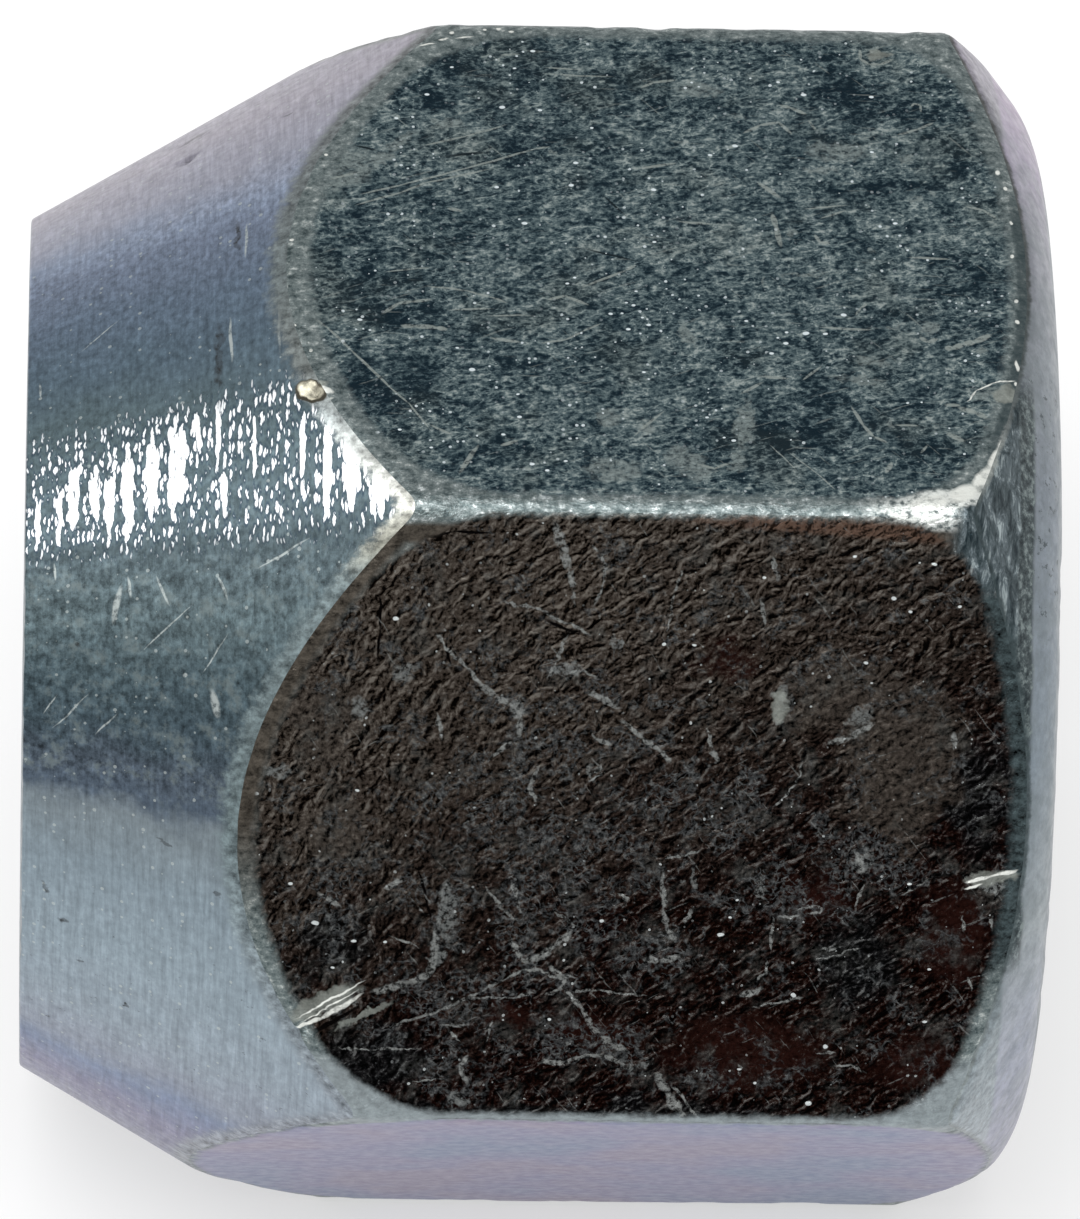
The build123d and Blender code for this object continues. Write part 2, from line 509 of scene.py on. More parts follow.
# Painted reflections round the crown, by heading.
CROWN_REFLECTION_TONES = round_to(
    (0.27, 0.28, 0.31), (-35, (0.41, 0.33, 0.44)), (-20, (0.35, 0.315, 0.4)),
    (-8, (0.29, 0.295, 0.335)), (10, (0.24, 0.265, 0.29)), (25, (0.22, 0.25, 0.285)),
    (50, (0.21, 0.25, 0.285)), (70, (0.3, 0.335, 0.355)), (90, (0.35, 0.37, 0.45)),
    (120, (0.31, 0.3, 0.38)))
# Painted reflections round the shoulder, by heading: dark from about 0 to 70 degrees, pale beyond.
SHOULDER_REFLECTION_TONES = round_to(
    (0.2, 0.21, 0.23), (-60, (0.26, 0.25, 0.3)), (-28, (0.3, 0.28, 0.33)), (-16, (0.14, 0.16, 0.165)),
    (0, (0.07, 0.09, 0.095)), (14, (0.09, 0.11, 0.115)), (20, (0.115, 0.14, 0.145)),
    (30, (0.09, 0.115, 0.12)), (36, (0.06, 0.085, 0.09)), (70, (0.06, 0.085, 0.09)),
    (80, (0.24, 0.28, 0.3)), (95, (0.33, 0.37, 0.4)), (115, (0.3, 0.3, 0.36)))
# Painted reflections along the line at the crown's rim, with a painted highlight near 23 degrees.
CROWN_LINE_REFLECTIONS = round_to(
    (0.17, 0.175, 0.18), (-60, (0.15, 0.15, 0.15)), (-25, (0.085, 0.09, 0.085)),
    (10, (0.065, 0.08, 0.08)), (18, (0.16, 0.18, 0.18)), (23, (0.4, 0.43, 0.41)),
    (27, (0.06, 0.08, 0.085)), (38, (0.055, 0.075, 0.08)), (72, (0.07, 0.09, 0.095)),
    (84, (0.22, 0.25, 0.25)), (115, (0.25, 0.27, 0.29)))
ARC = math.radians(8.4)    # millimetres for a degree of heading, at a radius of 8.4 mm on the cone

# Marks, listed one by one. Most are (u, v, length, width, angle from +u towards +v), in millimetres and
# degrees.
# Lines, cracks and nicks are drawn through points: (width, then each point's (u, v)).
# Specks are (u, v, size). The cone's painted highlight streaks are (u, heading, width in millimetres, height
# in degrees).
# On the cone, v is heading * ARC.
UPPER_LINES = [
    (0.06, (-3.97, -1.68), (-3.18, -1.94)),
    (0.05, (-3.13, -1.23), (-2.44, -1.5), (-2.02, -1.73), (-0.97, -2.05)),
    (0.05, (-3.07, -1.47), (-2.4, -1.68), (-1.34, -2.07), (-0.13, -2.55), (0.08, -2.6)),
    (0.05, (-2.0, -2.6), (-1.34, -2.81), (-0.7, -3.07)), (0.08, (-1.63, -1.15), (-1.42, -1.1)),
    (0.07, (1.66, -2.15), (2.2, -2.28)), (0.04, (0.1, -4.45), (0.6, -4.42)),
    (0.04, (0.1, -4.3), (1.1, -4.26)), (0.05, (-0.68, -4.73), (-0.4, -4.75)),
    (0.06, (-4.07, 1.26), (-3.7, 1.58), (-3.28, 2.1), (-2.65, 2.9)),
    (0.04, (-2.65, 2.9), (-2.34, 3.26), (-2.02, 3.8)),
    (0.08, (-2.76, 1.24), (-2.5, 1.03), (-2.28, 0.97), (-1.97, 0.92)),
    (0.11, (-2.44, 1.53), (-2.23, 1.53), (-1.86, 1.55), (-1.7, 1.58)),
    (0.05, (-1.6, 1.15), (-0.97, 1.1)),
    (0.05, (-1.97, 0.63), (-1.34, 0.7), (-0.92, 0.84), (-0.7, 0.95)),
    (0.04, (-2.65, 0.3), (-2.0, 0.2)), (0.08, (-0.92, 1.77), (-0.5, 1.84)),
    (0.04, (-0.97, 1.26), (-0.4, 1.24)), (0.07, (0.03, 0.87), (0.3, 0.79), (0.66, 0.97)),
    (0.05, (-0.07, 1.84), (0.3, 1.76), (0.6, 1.58), (0.87, 1.42)),
    (0.06, (0.64, 0.55), (1.35, 0.2), (1.5, 0.08)), (0.06, (-1.97, 3.74), (-1.65, 3.92)),
    (0.1, (-1.5, 4.74), (-1.23, 4.2)), (0.08, (-0.8, 4.13), (-0.55, 4.03)),
    (0.06, (1.87, 3.37), (1.45, 3.84)), (0.06, (1.7, -4.02), (1.9, -4.13), (2.28, -4.2)),
    (0.07, (3.44, -3.02), (3.7, -3.18), (4.02, -3.26), (4.23, -3.02)),
    (0.08, (4.07, -3.65), (4.23, -3.6), (4.48, -3.46)), (0.06, (4.55, -3.3), (4.65, -3.1)),
    (0.06, (6.07, -3.02), (6.39, -3.15), (6.65, -3.3)),
    (0.05, (6.31, -3.68), (6.36, -3.75), (6.47, -3.7), (6.47, -3.57)),
    (0.06, (2.28, -0.94), (2.8, -0.89)), (0.04, (4.44, -1.28), (5.07, -1.36)),
    (0.05, (4.7, -1.07), (5.07, -1.23)), (0.06, (7.18, -1.39), (7.44, -1.31), (7.65, -1.13)),
    (0.12, (3.86, -1.13), (3.9, -0.86), (3.97, -0.44)),
    (0.07, (4.57, -0.68), (4.63, -0.52), (4.8, -0.52)), (0.06, (6.18, -0.2), (6.78, -0.17)),
    (0.1, (3.65, -1.84), (3.97, -1.55)), (0.05, (5.2, 1.1), (5.28, 0.95), (5.39, 0.87)),
    (0.1, (6.26, 1.6), (6.39, 1.71), (6.55, 1.63)),
    (0.13, (6.68, 1.82), (6.8, 1.84), (6.97, 1.74), (7.18, 1.68), (7.44, 1.53)),
    (0.06, (4.65, 1.42), (5.4, 1.45)), (0.06, (4.55, 2.3), (4.28, 2.58)),
    (0.07, (3.55, 2.53), (4.0, 2.58)), (0.07, (3.23, 2.9), (3.55, 2.68)),
    (0.06, (2.47, 4.5), (2.73, 4.58), (2.97, 4.47)),
    (0.07, (5.07, 3.2), (5.23, 3.58), (5.4, 3.84), (5.6, 3.95)), (0.03, (3.7, 4.1), (4.07, 4.58)),
    (0.03, (4.02, 4.26), (4.44, 4.68), (4.7, 5.0)), (0.05, (5.8, 3.57), (6.13, 3.58)),
    (0.08, (6.63, 3.1), (6.86, 3.1)), (0.12, (6.86, 3.16), (7.13, 3.26), (7.3, 3.37)),
    (0.12, (6.65, 3.74), (6.9, 3.9)), (0.05, (6.18, 4.16), (6.28, 4.03)),
    (0.1, (5.58, 4.62), (5.68, 4.42)),
    (0.07, (5.47, -4.97), (5.47, -4.76), (5.6, -4.65), (5.8, -4.65), (6.02, -4.76))]
UPPER_CRACKS = [
    (0.05, (1.0, -1.5), (1.35, -1.07)), (0.06, (0.7, -0.28), (1.5, -0.02)),
    (0.08, (-1.65, -2.35), (-1.0, -2.45)), (0.06, (-3.2, -2.55), (-2.85, -2.45)),
    (0.1, (5.6, -4.85), (5.95, -4.9))]
UPPER_FLAKES = [
    (2.7, -4.0, 0.95, 0.38, 10), (2.35, 1.65, 0.66, 0.24, 68), (4.2, -0.75, 0.3, 0.28, 0),
    (5.52, -0.34, 0.24, 0.16, 0), (3.47, -0.37, 0.22, 0.18, 0), (6.45, 1.4, 0.4, 0.3, 0),
    (7.3, 1.88, 0.3, 0.14, 0), (5.45, 2.17, 0.7, 0.17, 4), (5.15, 2.57, 1.1, 0.2, 6),
    (1.0, 3.5, 0.5, 0.4, 0), (0.16, -2.5, 0.15, 0.15, 0), (-0.92, -2.5, 0.13, 0.16, 0),
    (1.05, 4.65, 1.1, 0.6, 0), (2.3, 4.5, 1.1, 0.6, 42), (1.6, 3.7, 0.25, 0.36, 0),
    (3.25, 3.6, 0.36, 1.3, 5), (3.1, 4.4, 0.3, 0.6, 0), (-3.5, -2.0, 1.6, 1.1, -30),
    (-2.75, -2.3, 1.9, 0.3, -48), (-1.65, -3.12, 0.6, 0.26, 0), (6.18, -2.42, 0.3, 0.3, 0),
    (6.6, -1.7, 0.14, 0.12, 0), (6.3, -1.55, 0.28, 0.14, 0), (4.7, -2.15, 0.75, 0.14, 0),
    (3.36, -3.35, 0.22, 0.14, 0), (4.8, -3.14, 0.18, 0.09, 0), (4.4, 0.23, 0.9, 0.13, -5),
    (3.65, 0.42, 0.1, 0.26, 0), (5.84, 1.38, 0.24, 0.1, 0), (5.68, 3.55, 0.14, 0.18, 0),
    (7.42, 2.84, 0.8, 0.42, -16), (5.0, -2.6, 1.2, 0.5, 0)]
UPPER_SPECKS = [
    (-1.98, -3.78, 0.13), (-0.7, -3.5, 0.16), (-0.05, -3.45, 0.12), (-0.16, -4.83, 0.13),
    (-2.5, -3.22, 0.11), (0.54, -2.24, 0.13), (-0.82, -1.65, 0.12), (-0.36, -0.84, 0.15),
    (0.45, -1.72, 0.13), (1.86, -1.66, 0.14), (1.83, -0.45, 0.1), (0.82, -3.05, 0.1),
    (-0.47, -4.42, 0.09), (-1.55, -4.43, 0.1), (-1.28, 2.47, 0.16), (-0.5, 3.5, 0.13),
    (-2.88, 3.9, 0.12), (-2.5, 3.83, 0.1), (-1.97, 4.22, 0.09), (-0.3, 4.54, 0.13),
    (-0.05, 4.68, 0.12), (0.25, 4.46, 0.1), (-0.77, 3.9, 0.11), (-0.52, 3.0, 0.09), (-1.52, 2.0, 0.09),
    (0.48, 0.37, 0.09), (0.35, 0.5, 0.1), (-3.15, 1.4, 0.13), (1.06, 1.18, 0.11), (1.45, 0.97, 0.11),
    (1.5, 0.66, 0.09), (1.35, 1.52, 0.13), (1.7, 1.42, 0.12), (1.6, 1.25, 0.08), (1.25, 1.16, 0.08),
    (1.33, 0.92, 0.08), (4.47, -3.9, 0.15), (5.64, -3.88, 0.13), (4.04, -4.2, 0.1), (3.26, -2.7, 0.15),
    (2.84, -2.48, 0.11), (5.94, -0.98, 0.12), (5.6, -2.6, 0.11), (4.99, 1.12, 0.15),
    (4.35, 1.55, 0.17), (4.66, 1.56, 0.12), (4.02, 1.54, 0.1), (4.0, 1.78, 0.14), (3.86, 1.66, 0.08),
    (3.75, 2.02, 0.12), (3.35, 1.3, 0.1), (3.06, 3.96, 0.12), (2.63, 3.46, 0.1), (2.9, 3.9, 0.08),
    (1.6, 2.47, 0.1)]
DARK_PATCHES = [
    (-1.65, -4.55, 0.7, 1.0, 0), (-0.5, -5.1, 1.2, 0.42, 0), (-2.65, -3.75, 0.5, 0.5, 0),
    (-1.9, -3.6, 0.5, 0.6, 0), (-2.1, -1.4, 0.6, 0.3, 0), (1.9, -4.4, 0.8, 0.5, 0),
    (1.9, -3.7, 0.8, 0.6, 0), (4.9, -3.9, 1.6, 0.7, 0), (2.5, -4.7, 0.9, 0.4, 0),
    (6.2, -3.5, 1.6, 0.5, 0), (7.1, -2.4, 0.5, 1.0, 0), (5.7, -1.8, 0.8, 0.45, 0),
    (6.4, -1.85, 0.8, 0.3, 0), (-0.5, 2.3, 1.0, 0.4, 0), (3.2, 2.3, 1.0, 0.5, 0),
    (-2.6, 0.4, 1.4, 0.5, 0), (-3.0, 3.0, 1.0, 0.8, 50), (3.9, 3.8, 1.2, 0.8, 0),
    (-0.8, 4.3, 1.6, 0.6, 0), (6.2, 4.1, 1.2, 0.5, 0), (4.9, 3.1, 1.6, 0.5, 10),
    (5.9, 1.1, 0.9, 0.4, 0), (3.2, 4.8, 0.9, 0.3, 0), (-2.4, 1.3, 1.6, 0.8, 0)]
DARK_AREAS = [
    (-2.5, 0.6, 3.2, 2.4, 0), (-2.3, 3.0, 3.0, 2.0, 40), (-0.6, -4.2, 4.2, 1.6, 3),
    (5.7, -3.9, 3.6, 1.4, 5), (5.6, -1.8, 3.0, 1.0, 0), (7.0, 0.6, 1.8, 2.6, 0),
    (4.2, 3.9, 3.4, 1.8, 0), (0.4, -2.6, 3.0, 0.8, 0)]
LOWER_LINES = [
    (0.2, (0.08, 5.8), (0.2, 6.2), (0.32, 6.6)), (0.12, (0.32, 6.55), (0.4, 6.95)),
    (0.06, (0.38, 6.9), (0.44, 7.2)),
    (0.06, (0.68, 6.2), (0.86, 6.3), (0.95, 6.55), (0.92, 6.84), (0.76, 7.18)),
    (0.07, (-0.7, 7.18), (-0.25, 7.28), (0.05, 7.42), (0.37, 7.55), (0.68, 7.72)),
    (0.06, (0.3, 7.8), (0.18, 8.18), (0.03, 8.5)), (0.07, (0.32, 8.47), (0.53, 8.36), (0.8, 8.5)),
    (0.08, (-1.85, 7.76), (-1.74, 7.97), (-1.53, 8.13), (-1.3, 8.39), (-1.1, 8.65)),
    (0.12, (-1.1, 8.65), (-0.84, 8.86), (-0.5, 9.02)), (0.2, (-0.5, 9.0), (-0.42, 9.3)),
    (0.11, (-0.42, 9.2), (-0.42, 9.55)), (0.08, (-0.53, 9.6), (-0.9, 9.97)),
    (0.1, (-1.8, 9.2), (-1.7, 9.6)), (0.12, (0.74, 8.76), (1.2, 9.0)),
    (0.1, (1.3, 9.28), (1.63, 9.55), (1.95, 9.8), (2.1, 9.97)), (0.08, (0.8, 9.52), (1.1, 9.68)),
    (0.1, (2.7, 9.4), (2.8, 9.75), (2.9, 9.95)), (0.05, (0.74, 10.36), (0.95, 10.23), (0.97, 10.05)),
    (0.1, (-0.1, 10.1), (-0.2, 10.4), (-0.1, 10.76)),
    (0.06, (-2.37, 14.76), (-2.05, 14.66), (-1.63, 14.5), (-1.32, 14.34), (-0.95, 14.16), (-0.53, 13.89),
     (-0.26, 13.75), (0.05, 13.74), (0.32, 13.87), (0.6, 13.87)),
    (0.06, (-1.3, 14.34), (-1.0, 14.26), (-0.47, 14.24), (-0.05, 14.18)),
    (0.15, (-0.47, 13.2), (-0.26, 13.58), (0.05, 13.53), (0.26, 13.26), (0.53, 13.08)),
    (0.1, (0.16, 13.63), (0.47, 13.9), (0.37, 14.1), (0.16, 14.2)),
    (0.11, (0.47, 14.1), (0.74, 14.42), (0.95, 14.74), (1.05, 14.86)),
    (0.05, (0.58, 14.1), (0.95, 14.08), (1.3, 14.13), (1.8, 14.18)),
    (0.16, (1.1, 14.92), (1.3, 15.1), (1.52, 15.17)),
    (0.09, (0.1, 15.42), (0.47, 15.42), (0.84, 15.3), (1.16, 15.26), (1.42, 15.42), (1.6, 15.5)),
    (0.18, (2.05, 15.63), (2.26, 15.95), (2.47, 16.3), (2.58, 16.5)),
    (0.06, (2.3, 15.8), (2.63, 16.2), (2.75, 16.4)),
    (0.08, (-0.47, 12.2), (-0.37, 12.5), (-0.32, 12.7)),
    (0.07, (-0.9, 12.3), (-0.63, 12.63), (-0.47, 12.8)), (0.06, (0.26, 12.7), (0.58, 12.9)),
    (0.07, (1.3, 12.34), (1.45, 12.42), (1.4, 12.58)),
    (0.1, (2.05, 12.0), (2.08, 12.63), (2.16, 12.95)), (0.11, (2.58, 12.58), (2.45, 12.86)),
    (0.11, (2.13, 12.95), (2.3, 13.2)), (0.05, (2.1, 11.7), (2.47, 11.62), (2.63, 11.6)),
    (0.13, (1.8, 13.5), (2.05, 13.58), (2.37, 13.47)),
    (0.16, (-1.74, 13.0), (-1.74, 13.5), (-1.84, 13.84), (-2.16, 14.0), (-2.74, 14.16)),
    (0.12, (-2.6, 12.3), (-2.3, 12.15)), (0.04, (-2.47, 13.18), (-2.05, 13.34)),
    (0.09, (-3.7, 12.42), (-3.37, 12.63)), (0.04, (-3.26, 15.2), (-2.7, 15.2), (-2.05, 15.18)),
    (0.08, (-1.58, 14.76), (-1.2, 14.76)), (0.04, (-1.5, 14.8), (-1.3, 15.05)),
    (0.05, (-0.74, 14.7), (-0.82, 15.05)), (0.09, (-1.16, 15.3), (-1.26, 15.5), (-1.16, 15.8)),
    (0.04, (-2.05, 15.8), (-1.6, 15.74)), (0.14, (4.75, 9.6), (5.1, 9.5), (5.45, 9.25)),
    (0.12, (6.83, 9.38), (6.85, 9.66)), (0.09, (3.7, 6.35), (3.8, 6.7)),
    (0.08, (3.55, 7.1), (3.6, 7.5)), (0.05, (2.18, 6.6), (2.08, 7.0), (2.0, 7.6)),
    (0.05, (4.3, 10.0), (4.24, 10.34), (4.03, 10.6), (3.87, 10.75)),
    (0.06, (5.42, 12.16), (5.29, 12.53)), (0.07, (3.92, 12.78), (3.92, 13.32)),
    (0.07, (3.87, 13.53), (3.84, 13.74), (3.7, 13.87)), (0.13, (3.42, 14.15), (3.76, 14.03)),
    (0.05, (3.7, 14.34), (4.13, 14.26), (4.45, 14.16)), (0.05, (4.76, 13.33), (5.08, 13.28)),
    (0.04, (4.65, 13.48), (5.0, 13.42), (5.42, 13.28)), (0.05, (4.05, 12.7), (4.35, 12.72)),
    (0.06, (4.3, 12.62), (4.65, 12.5), (4.76, 12.62), (4.5, 12.68)), (0.16, (5.3, 11.6), (5.4, 11.95)),
    (0.06, (5.08, 15.4), (5.34, 15.37), (5.58, 15.5)), (0.04, (4.75, 15.17), (5.02, 15.17)),
    (0.08, (3.45, 15.42), (3.47, 15.6)), (0.06, (7.62, 12.65), (7.6, 12.9)),
    (0.05, (7.1, 12.7), (7.15, 12.95)), (0.06, (7.24, 13.78), (7.32, 14.0)),
    (0.05, (6.1, 12.3), (6.5, 12.05))]
LOWER_CRACKS = [
    (0.06, (-2.8, 7.1), (-2.78, 7.7), (-2.8, 8.2)),
    (0.06, (-2.05, 12.0), (-1.92, 12.4), (-1.84, 12.85)),
    (0.06, (-2.9, 6.7), (-2.6, 6.35), (-2.2, 6.1), (-1.6, 5.97), (-1.0, 5.98)),
    (0.06, (-1.7, 7.9), (-1.6, 8.3)), (0.08, (0.0, 7.5), (0.4, 7.68)),
    (0.1, (-3.9, 15.05), (-3.0, 14.45))]
LOWER_SCUFFS = [
    (3.92, 8.8, 0.28, 0.58, 5), (3.87, 9.2, 0.2, 0.16, 0), (5.25, 9.15, 0.6, 0.4, -30),
    (0.83, 10.18, 0.28, 0.24, 0), (-3.1, 9.1, 0.34, 0.45, 0), (0.3, 8.35, 0.6, 0.3, 0),
    (-0.45, 9.1, 0.3, 0.34, 0), (-4.5, 10.25, 0.6, 0.3, 0), (2.55, 12.08, 0.2, 0.32, -10),
    (1.62, 15.48, 0.22, 0.2, 0), (1.87, 15.4, 0.24, 0.2, 0), (-1.3, 16.12, 0.5, 0.24, 0),
    (-1.55, 12.7, 0.4, 1.2, 0), (-1.7, 13.5, 0.3, 0.5, 0), (3.7, 12.25, 0.16, 0.5, -15),
    (-2.35, 8.45, 0.4, 0.4, 0), (1.15, 7.9, 0.14, 0.5, 0), (-3.4, 14.4, 1.2, 0.36, -30),
    (7.65, 12.14, 0.8, 0.26, 4), (5.4, 11.7, 0.4, 0.5, 0)]
LOWER_STRANDS = [
    (0.0, 12.2, 5.0, 2.8, 0), (-0.4, 9.4, 3.6, 1.6, 25), (-1.2, 14.2, 4.6, 1.5, -15),
    (1.1, 9.7, 2.4, 1.6, 20), (0.8, 15.0, 2.8, 1.4, 20), (4.2, 12.2, 2.6, 1.6, 0),
    (5.4, 11.6, 1.8, 1.2, 0), (-3.6, 12.6, 2.2, 1.6, 0), (2.0, 13.5, 1.8, 0.9, 0),
    (-0.8, 10.9, 3.2, 1.8, 0), (2.4, 10.8, 3.2, 2.0, 0), (-1.5, 15.6, 2.6, 1.2, 0)]
LOWER_SMOOTH = [
    (6.0, 10.0, 2.4, 3.2, 0), (-3.7, 9.4, 1.6, 1.6, 0), (5.0, 8.8, 2.2, 1.8, 0),
    (-3.4, 11.3, 1.6, 0.9, -25)]
LOWER_MAROON = [
    (3.6, 15.2, 3.2, 1.6, 0), (7.0, 12.9, 1.3, 2.2, 0), (6.4, 15.3, 2.0, 1.2, 0),
    (4.6, 12.3, 1.5, 1.0, 0), (1.0, 14.9, 2.0, 0.8, 20), (3.0, 8.2, 1.2, 1.0, 0),
    (-0.6, 14.5, 1.2, 0.6, 0)]
LOWER_SLATE = [
    (5.4, 13.5, 1.6, 2.2, 0), (7.3, 10.6, 1.0, 2.2, 0), (-2.8, 15.4, 2.4, 1.5, 0),
    (-3.5, 13.3, 1.6, 1.2, 0), (0.5, 16.4, 9.0, 0.7, 0)]
LOWER_SPECKS = [
    (-2.53, 7.5, 0.16), (-3.6, 7.3, 0.12), (-3.1, 10.56, 0.12), (-4.78, 10.64, 0.14),
    (-4.2, 12.24, 0.12), (-3.75, 12.94, 0.17), (-3.1, 13.27, 0.14), (-2.58, 13.3, 0.12),
    (-3.46, 13.75, 0.1), (-2.42, 16.24, 0.1), (0.22, 14.64, 0.1), (1.05, 12.84, 0.13),
    (3.05, 13.08, 0.16), (4.32, 14.14, 0.14), (4.88, 15.05, 0.13), (4.64, 16.1, 0.16),
    (3.72, 15.74, 0.1), (3.45, 15.5, 0.1), (5.75, 7.02, 0.14), (6.03, 7.25, 0.12), (6.38, 6.4, 0.14),
    (6.83, 7.15, 0.12), (3.57, 6.7, 0.1), (5.05, 6.3, 0.1), (6.2, 12.1, 0.12), (6.55, 14.6, 0.12),
    (3.2, 12.75, 0.1), (3.3, 12.45, 0.08), (6.6, 13.65, 0.09), (5.3, 8.18, 0.12), (1.95, 7.9, 0.1),
    (2.45, 7.9, 0.1)]
# Bright nicks, together with painted highlights: short dashes along the rims and a wide pale patch where the
# long edge in view meets the crown.
UPPER_NICKS_AND_RIM_HIGHLIGHTS = [
    (0.045, (7.02, 3.0), (7.18, 2.74), (7.44, 2.58), (7.8, 2.53)),
    (0.38, (7.1, 4.93), (6.6, 5.18), (6.0, 5.34)), (0.3, (7.36, 4.45), (7.06, 4.93)),
    (0.2, (7.5, 4.05), (7.34, 4.45)), (0.1, (7.65, 3.65), (7.5, 4.05)),
    (0.08, (7.71, 3.35), (7.7, 3.45)), (0.07, (7.8, 2.95), (7.8, 3.05)),
    (0.08, (7.84, 2.55), (7.84, 2.63)), (0.07, (7.86, 2.1), (7.88, 2.3)),
    (0.09, (7.92, 1.18), (7.92, 1.26)), (0.08, (7.92, 0.72), (7.92, 0.8)),
    (0.08, (7.9, -0.3), (7.9, -0.22)), (0.11, (7.72, -2.24), (7.74, -2.14)),
    (0.08, (7.83, -1.86), (7.85, -1.78)), (0.07, (7.9, -1.06), (7.92, -0.98)),
    (0.08, (-4.1, 3.3), (-3.65, 3.15)), (0.13, (-3.86, 2.9), (-3.62, 3.02)),
    (0.05, (-2.1, -4.93), (-1.85, -4.98)), (0.06, (-1.75, -5.07), (-1.6, -5.12)),
    (0.05, (-1.45, -5.12), (-1.2, -5.15)), (0.1, (-1.58, -5.28), (-1.5, -5.27)),
    (0.09, (-0.78, -5.36), (-0.7, -5.35)), (0.08, (-0.56, -5.3), (-0.48, -5.3)),
    (0.08, (-1.0, -5.33), (-0.94, -5.32)), (0.08, (-2.38, -4.8), (-2.3, -4.8)),
    (0.09, (-4.44, 0.66), (-4.36, 0.66)), (0.08, (-4.3, 1.5), (-4.22, 1.55)),
    (0.07, (-4.32, -0.4), (-4.26, -0.38)), (0.07, (-3.73, -2.35), (-3.67, -2.35)),
    (0.08, (-4.0, 2.1), (-3.95, 2.1))]
UPPER_BURRS = [
    (7.65, 2.85, 0.5, 0.42, -20), (-3.95, 2.86, 0.6, 0.26, -20), (5.78, -4.88, 0.5, 0.24, 0),
    (-2.9, 4.9, 0.6, 0.3, 40)]
LOWER_BURRS = [
    (7.6, 11.98, 1.0, 0.3, -8), (-3.6, 14.4, 1.5, 0.42, -28), (-2.9, 14.6, 1.2, 0.14, -26),
    (3.9, 8.95, 0.3, 0.66, 0), (-3.4, 5.95, 0.5, 0.2, -50)]
LOWER_NICKS = [
    (0.1, (-4.08, 14.92), (-3.63, 14.71), (-3.0, 14.26)), (0.05, (-3.95, 14.63), (-3.0, 14.03)),
    (0.04, (-3.9, 14.75), (-3.1, 14.2)), (0.09, (7.18, 12.05), (7.55, 11.95), (7.97, 11.84)),
    (0.05, (7.15, 12.17), (7.4, 12.1)), (0.07, (-4.8, 13.95), (-4.6, 14.05))]
# Painted highlight: the bright streaks of a lamp mirrored in the cone.
CONE_HIGHLIGHT_STREAKS = [
    (-8.5, 24.5, 0.12, 6), (-8.15, 24, 0.14, 8), (-7.9, 21.5, 0.24, 11), (-7.55, 22, 0.2, 9),
    (-7.3, 22.5, 0.22, 11), (-7.0, 22.5, 0.24, 14), (-6.6, 21.0, 0.27, 12), (-6.2, 20.5, 0.4, 13),
    (-5.85, 17.5, 0.14, 8), (-5.5, 17, 0.12, 8), (-5.4, 23.5, 0.12, 7), (-4.9, 20, 0.08, 9),
    (-4.1, 21, 0.12, 10), (-3.7, 23, 0.2, 10), (-3.3, 22.5, 0.38, 11), (-2.85, 26, 0.34, 6)]
CONE_SCRATCHES = [
    (-6.95, 4.92, 0.42, 0.06, 80), (-6.4, 5.0, 0.6, 0.05, 66), (-5.4, 5.0, 0.45, 0.05, 66),
    (-8.2, 4.55, 0.35, 0.05, 88), (-7.9, 7.1, 1.0, 0.035, -50), (-7.3, 7.25, 0.6, 0.035, -48),
    (-8.25, 7.0, 0.5, 0.03, -58), (-5.3, 1.0, 0.9, 0.07, 88), (-5.05, -0.9, 0.8, 0.06, 92),
    (-4.5, 1.0, 1.0, 0.06, 88), (-7.5, 0.0, 0.8, 0.03, -35), (-7.15, 5.2, 0.75, 0.12, 100),
    (-4.4, 4.55, 1.0, 0.04, -24), (-6.3, 5.6, 1.2, 0.03, -42), (-5.5, 6.75, 0.5, 0.16, 75),
    (-6.0, 6.35, 0.1, 0.08, 0), (-8.5, 0.8, 0.4, 0.05, 85), (-6.1, 1.9, 0.08, 0.06, 0),
    (-5.5, 6.0, 0.8, 0.03, -55)]
CONE_BURR_FOOT = [(-3.97, 2.22, 0.62, 0.34, 25)]
CONE_BURR = [(-3.98, 2.19, 0.5, 0.24, 25)]
CONE_DARKS = [
    (-5.9, -5.3, 0.6, 0.22, -10), (-6.3, 9.15, 0.35, 0.07, 20), (-5.4, 9.8, 0.16, 0.1, 0),
    (-8.3, 10.7, 0.12, 0.3, 0), (-8.0, 11.3, 0.2, 0.12, 0), (-7.7, 12.1, 0.14, 0.1, 0),
    (-5.5, 1.2, 0.16, 1.4, 0), (-5.2, -1.1, 0.12, 0.9, 0), (-4.8, 9.9, 0.1, 0.2, 0),
    (-6.9, 12.7, 0.1, 0.08, 0), (-4.3, -3.9, 0.25, 0.1, 20), (-7.8, 5.9, 0.1, 0.1, 0)]


def tones(n, heading, stops):
    """A colour by heading. The ramp runs from -180 to 180 degrees."""
    return n.ramp(n.scaled(heading, 1 / 360, 0.5), [(at / 360 + 0.5, tone) for at, tone in stops])


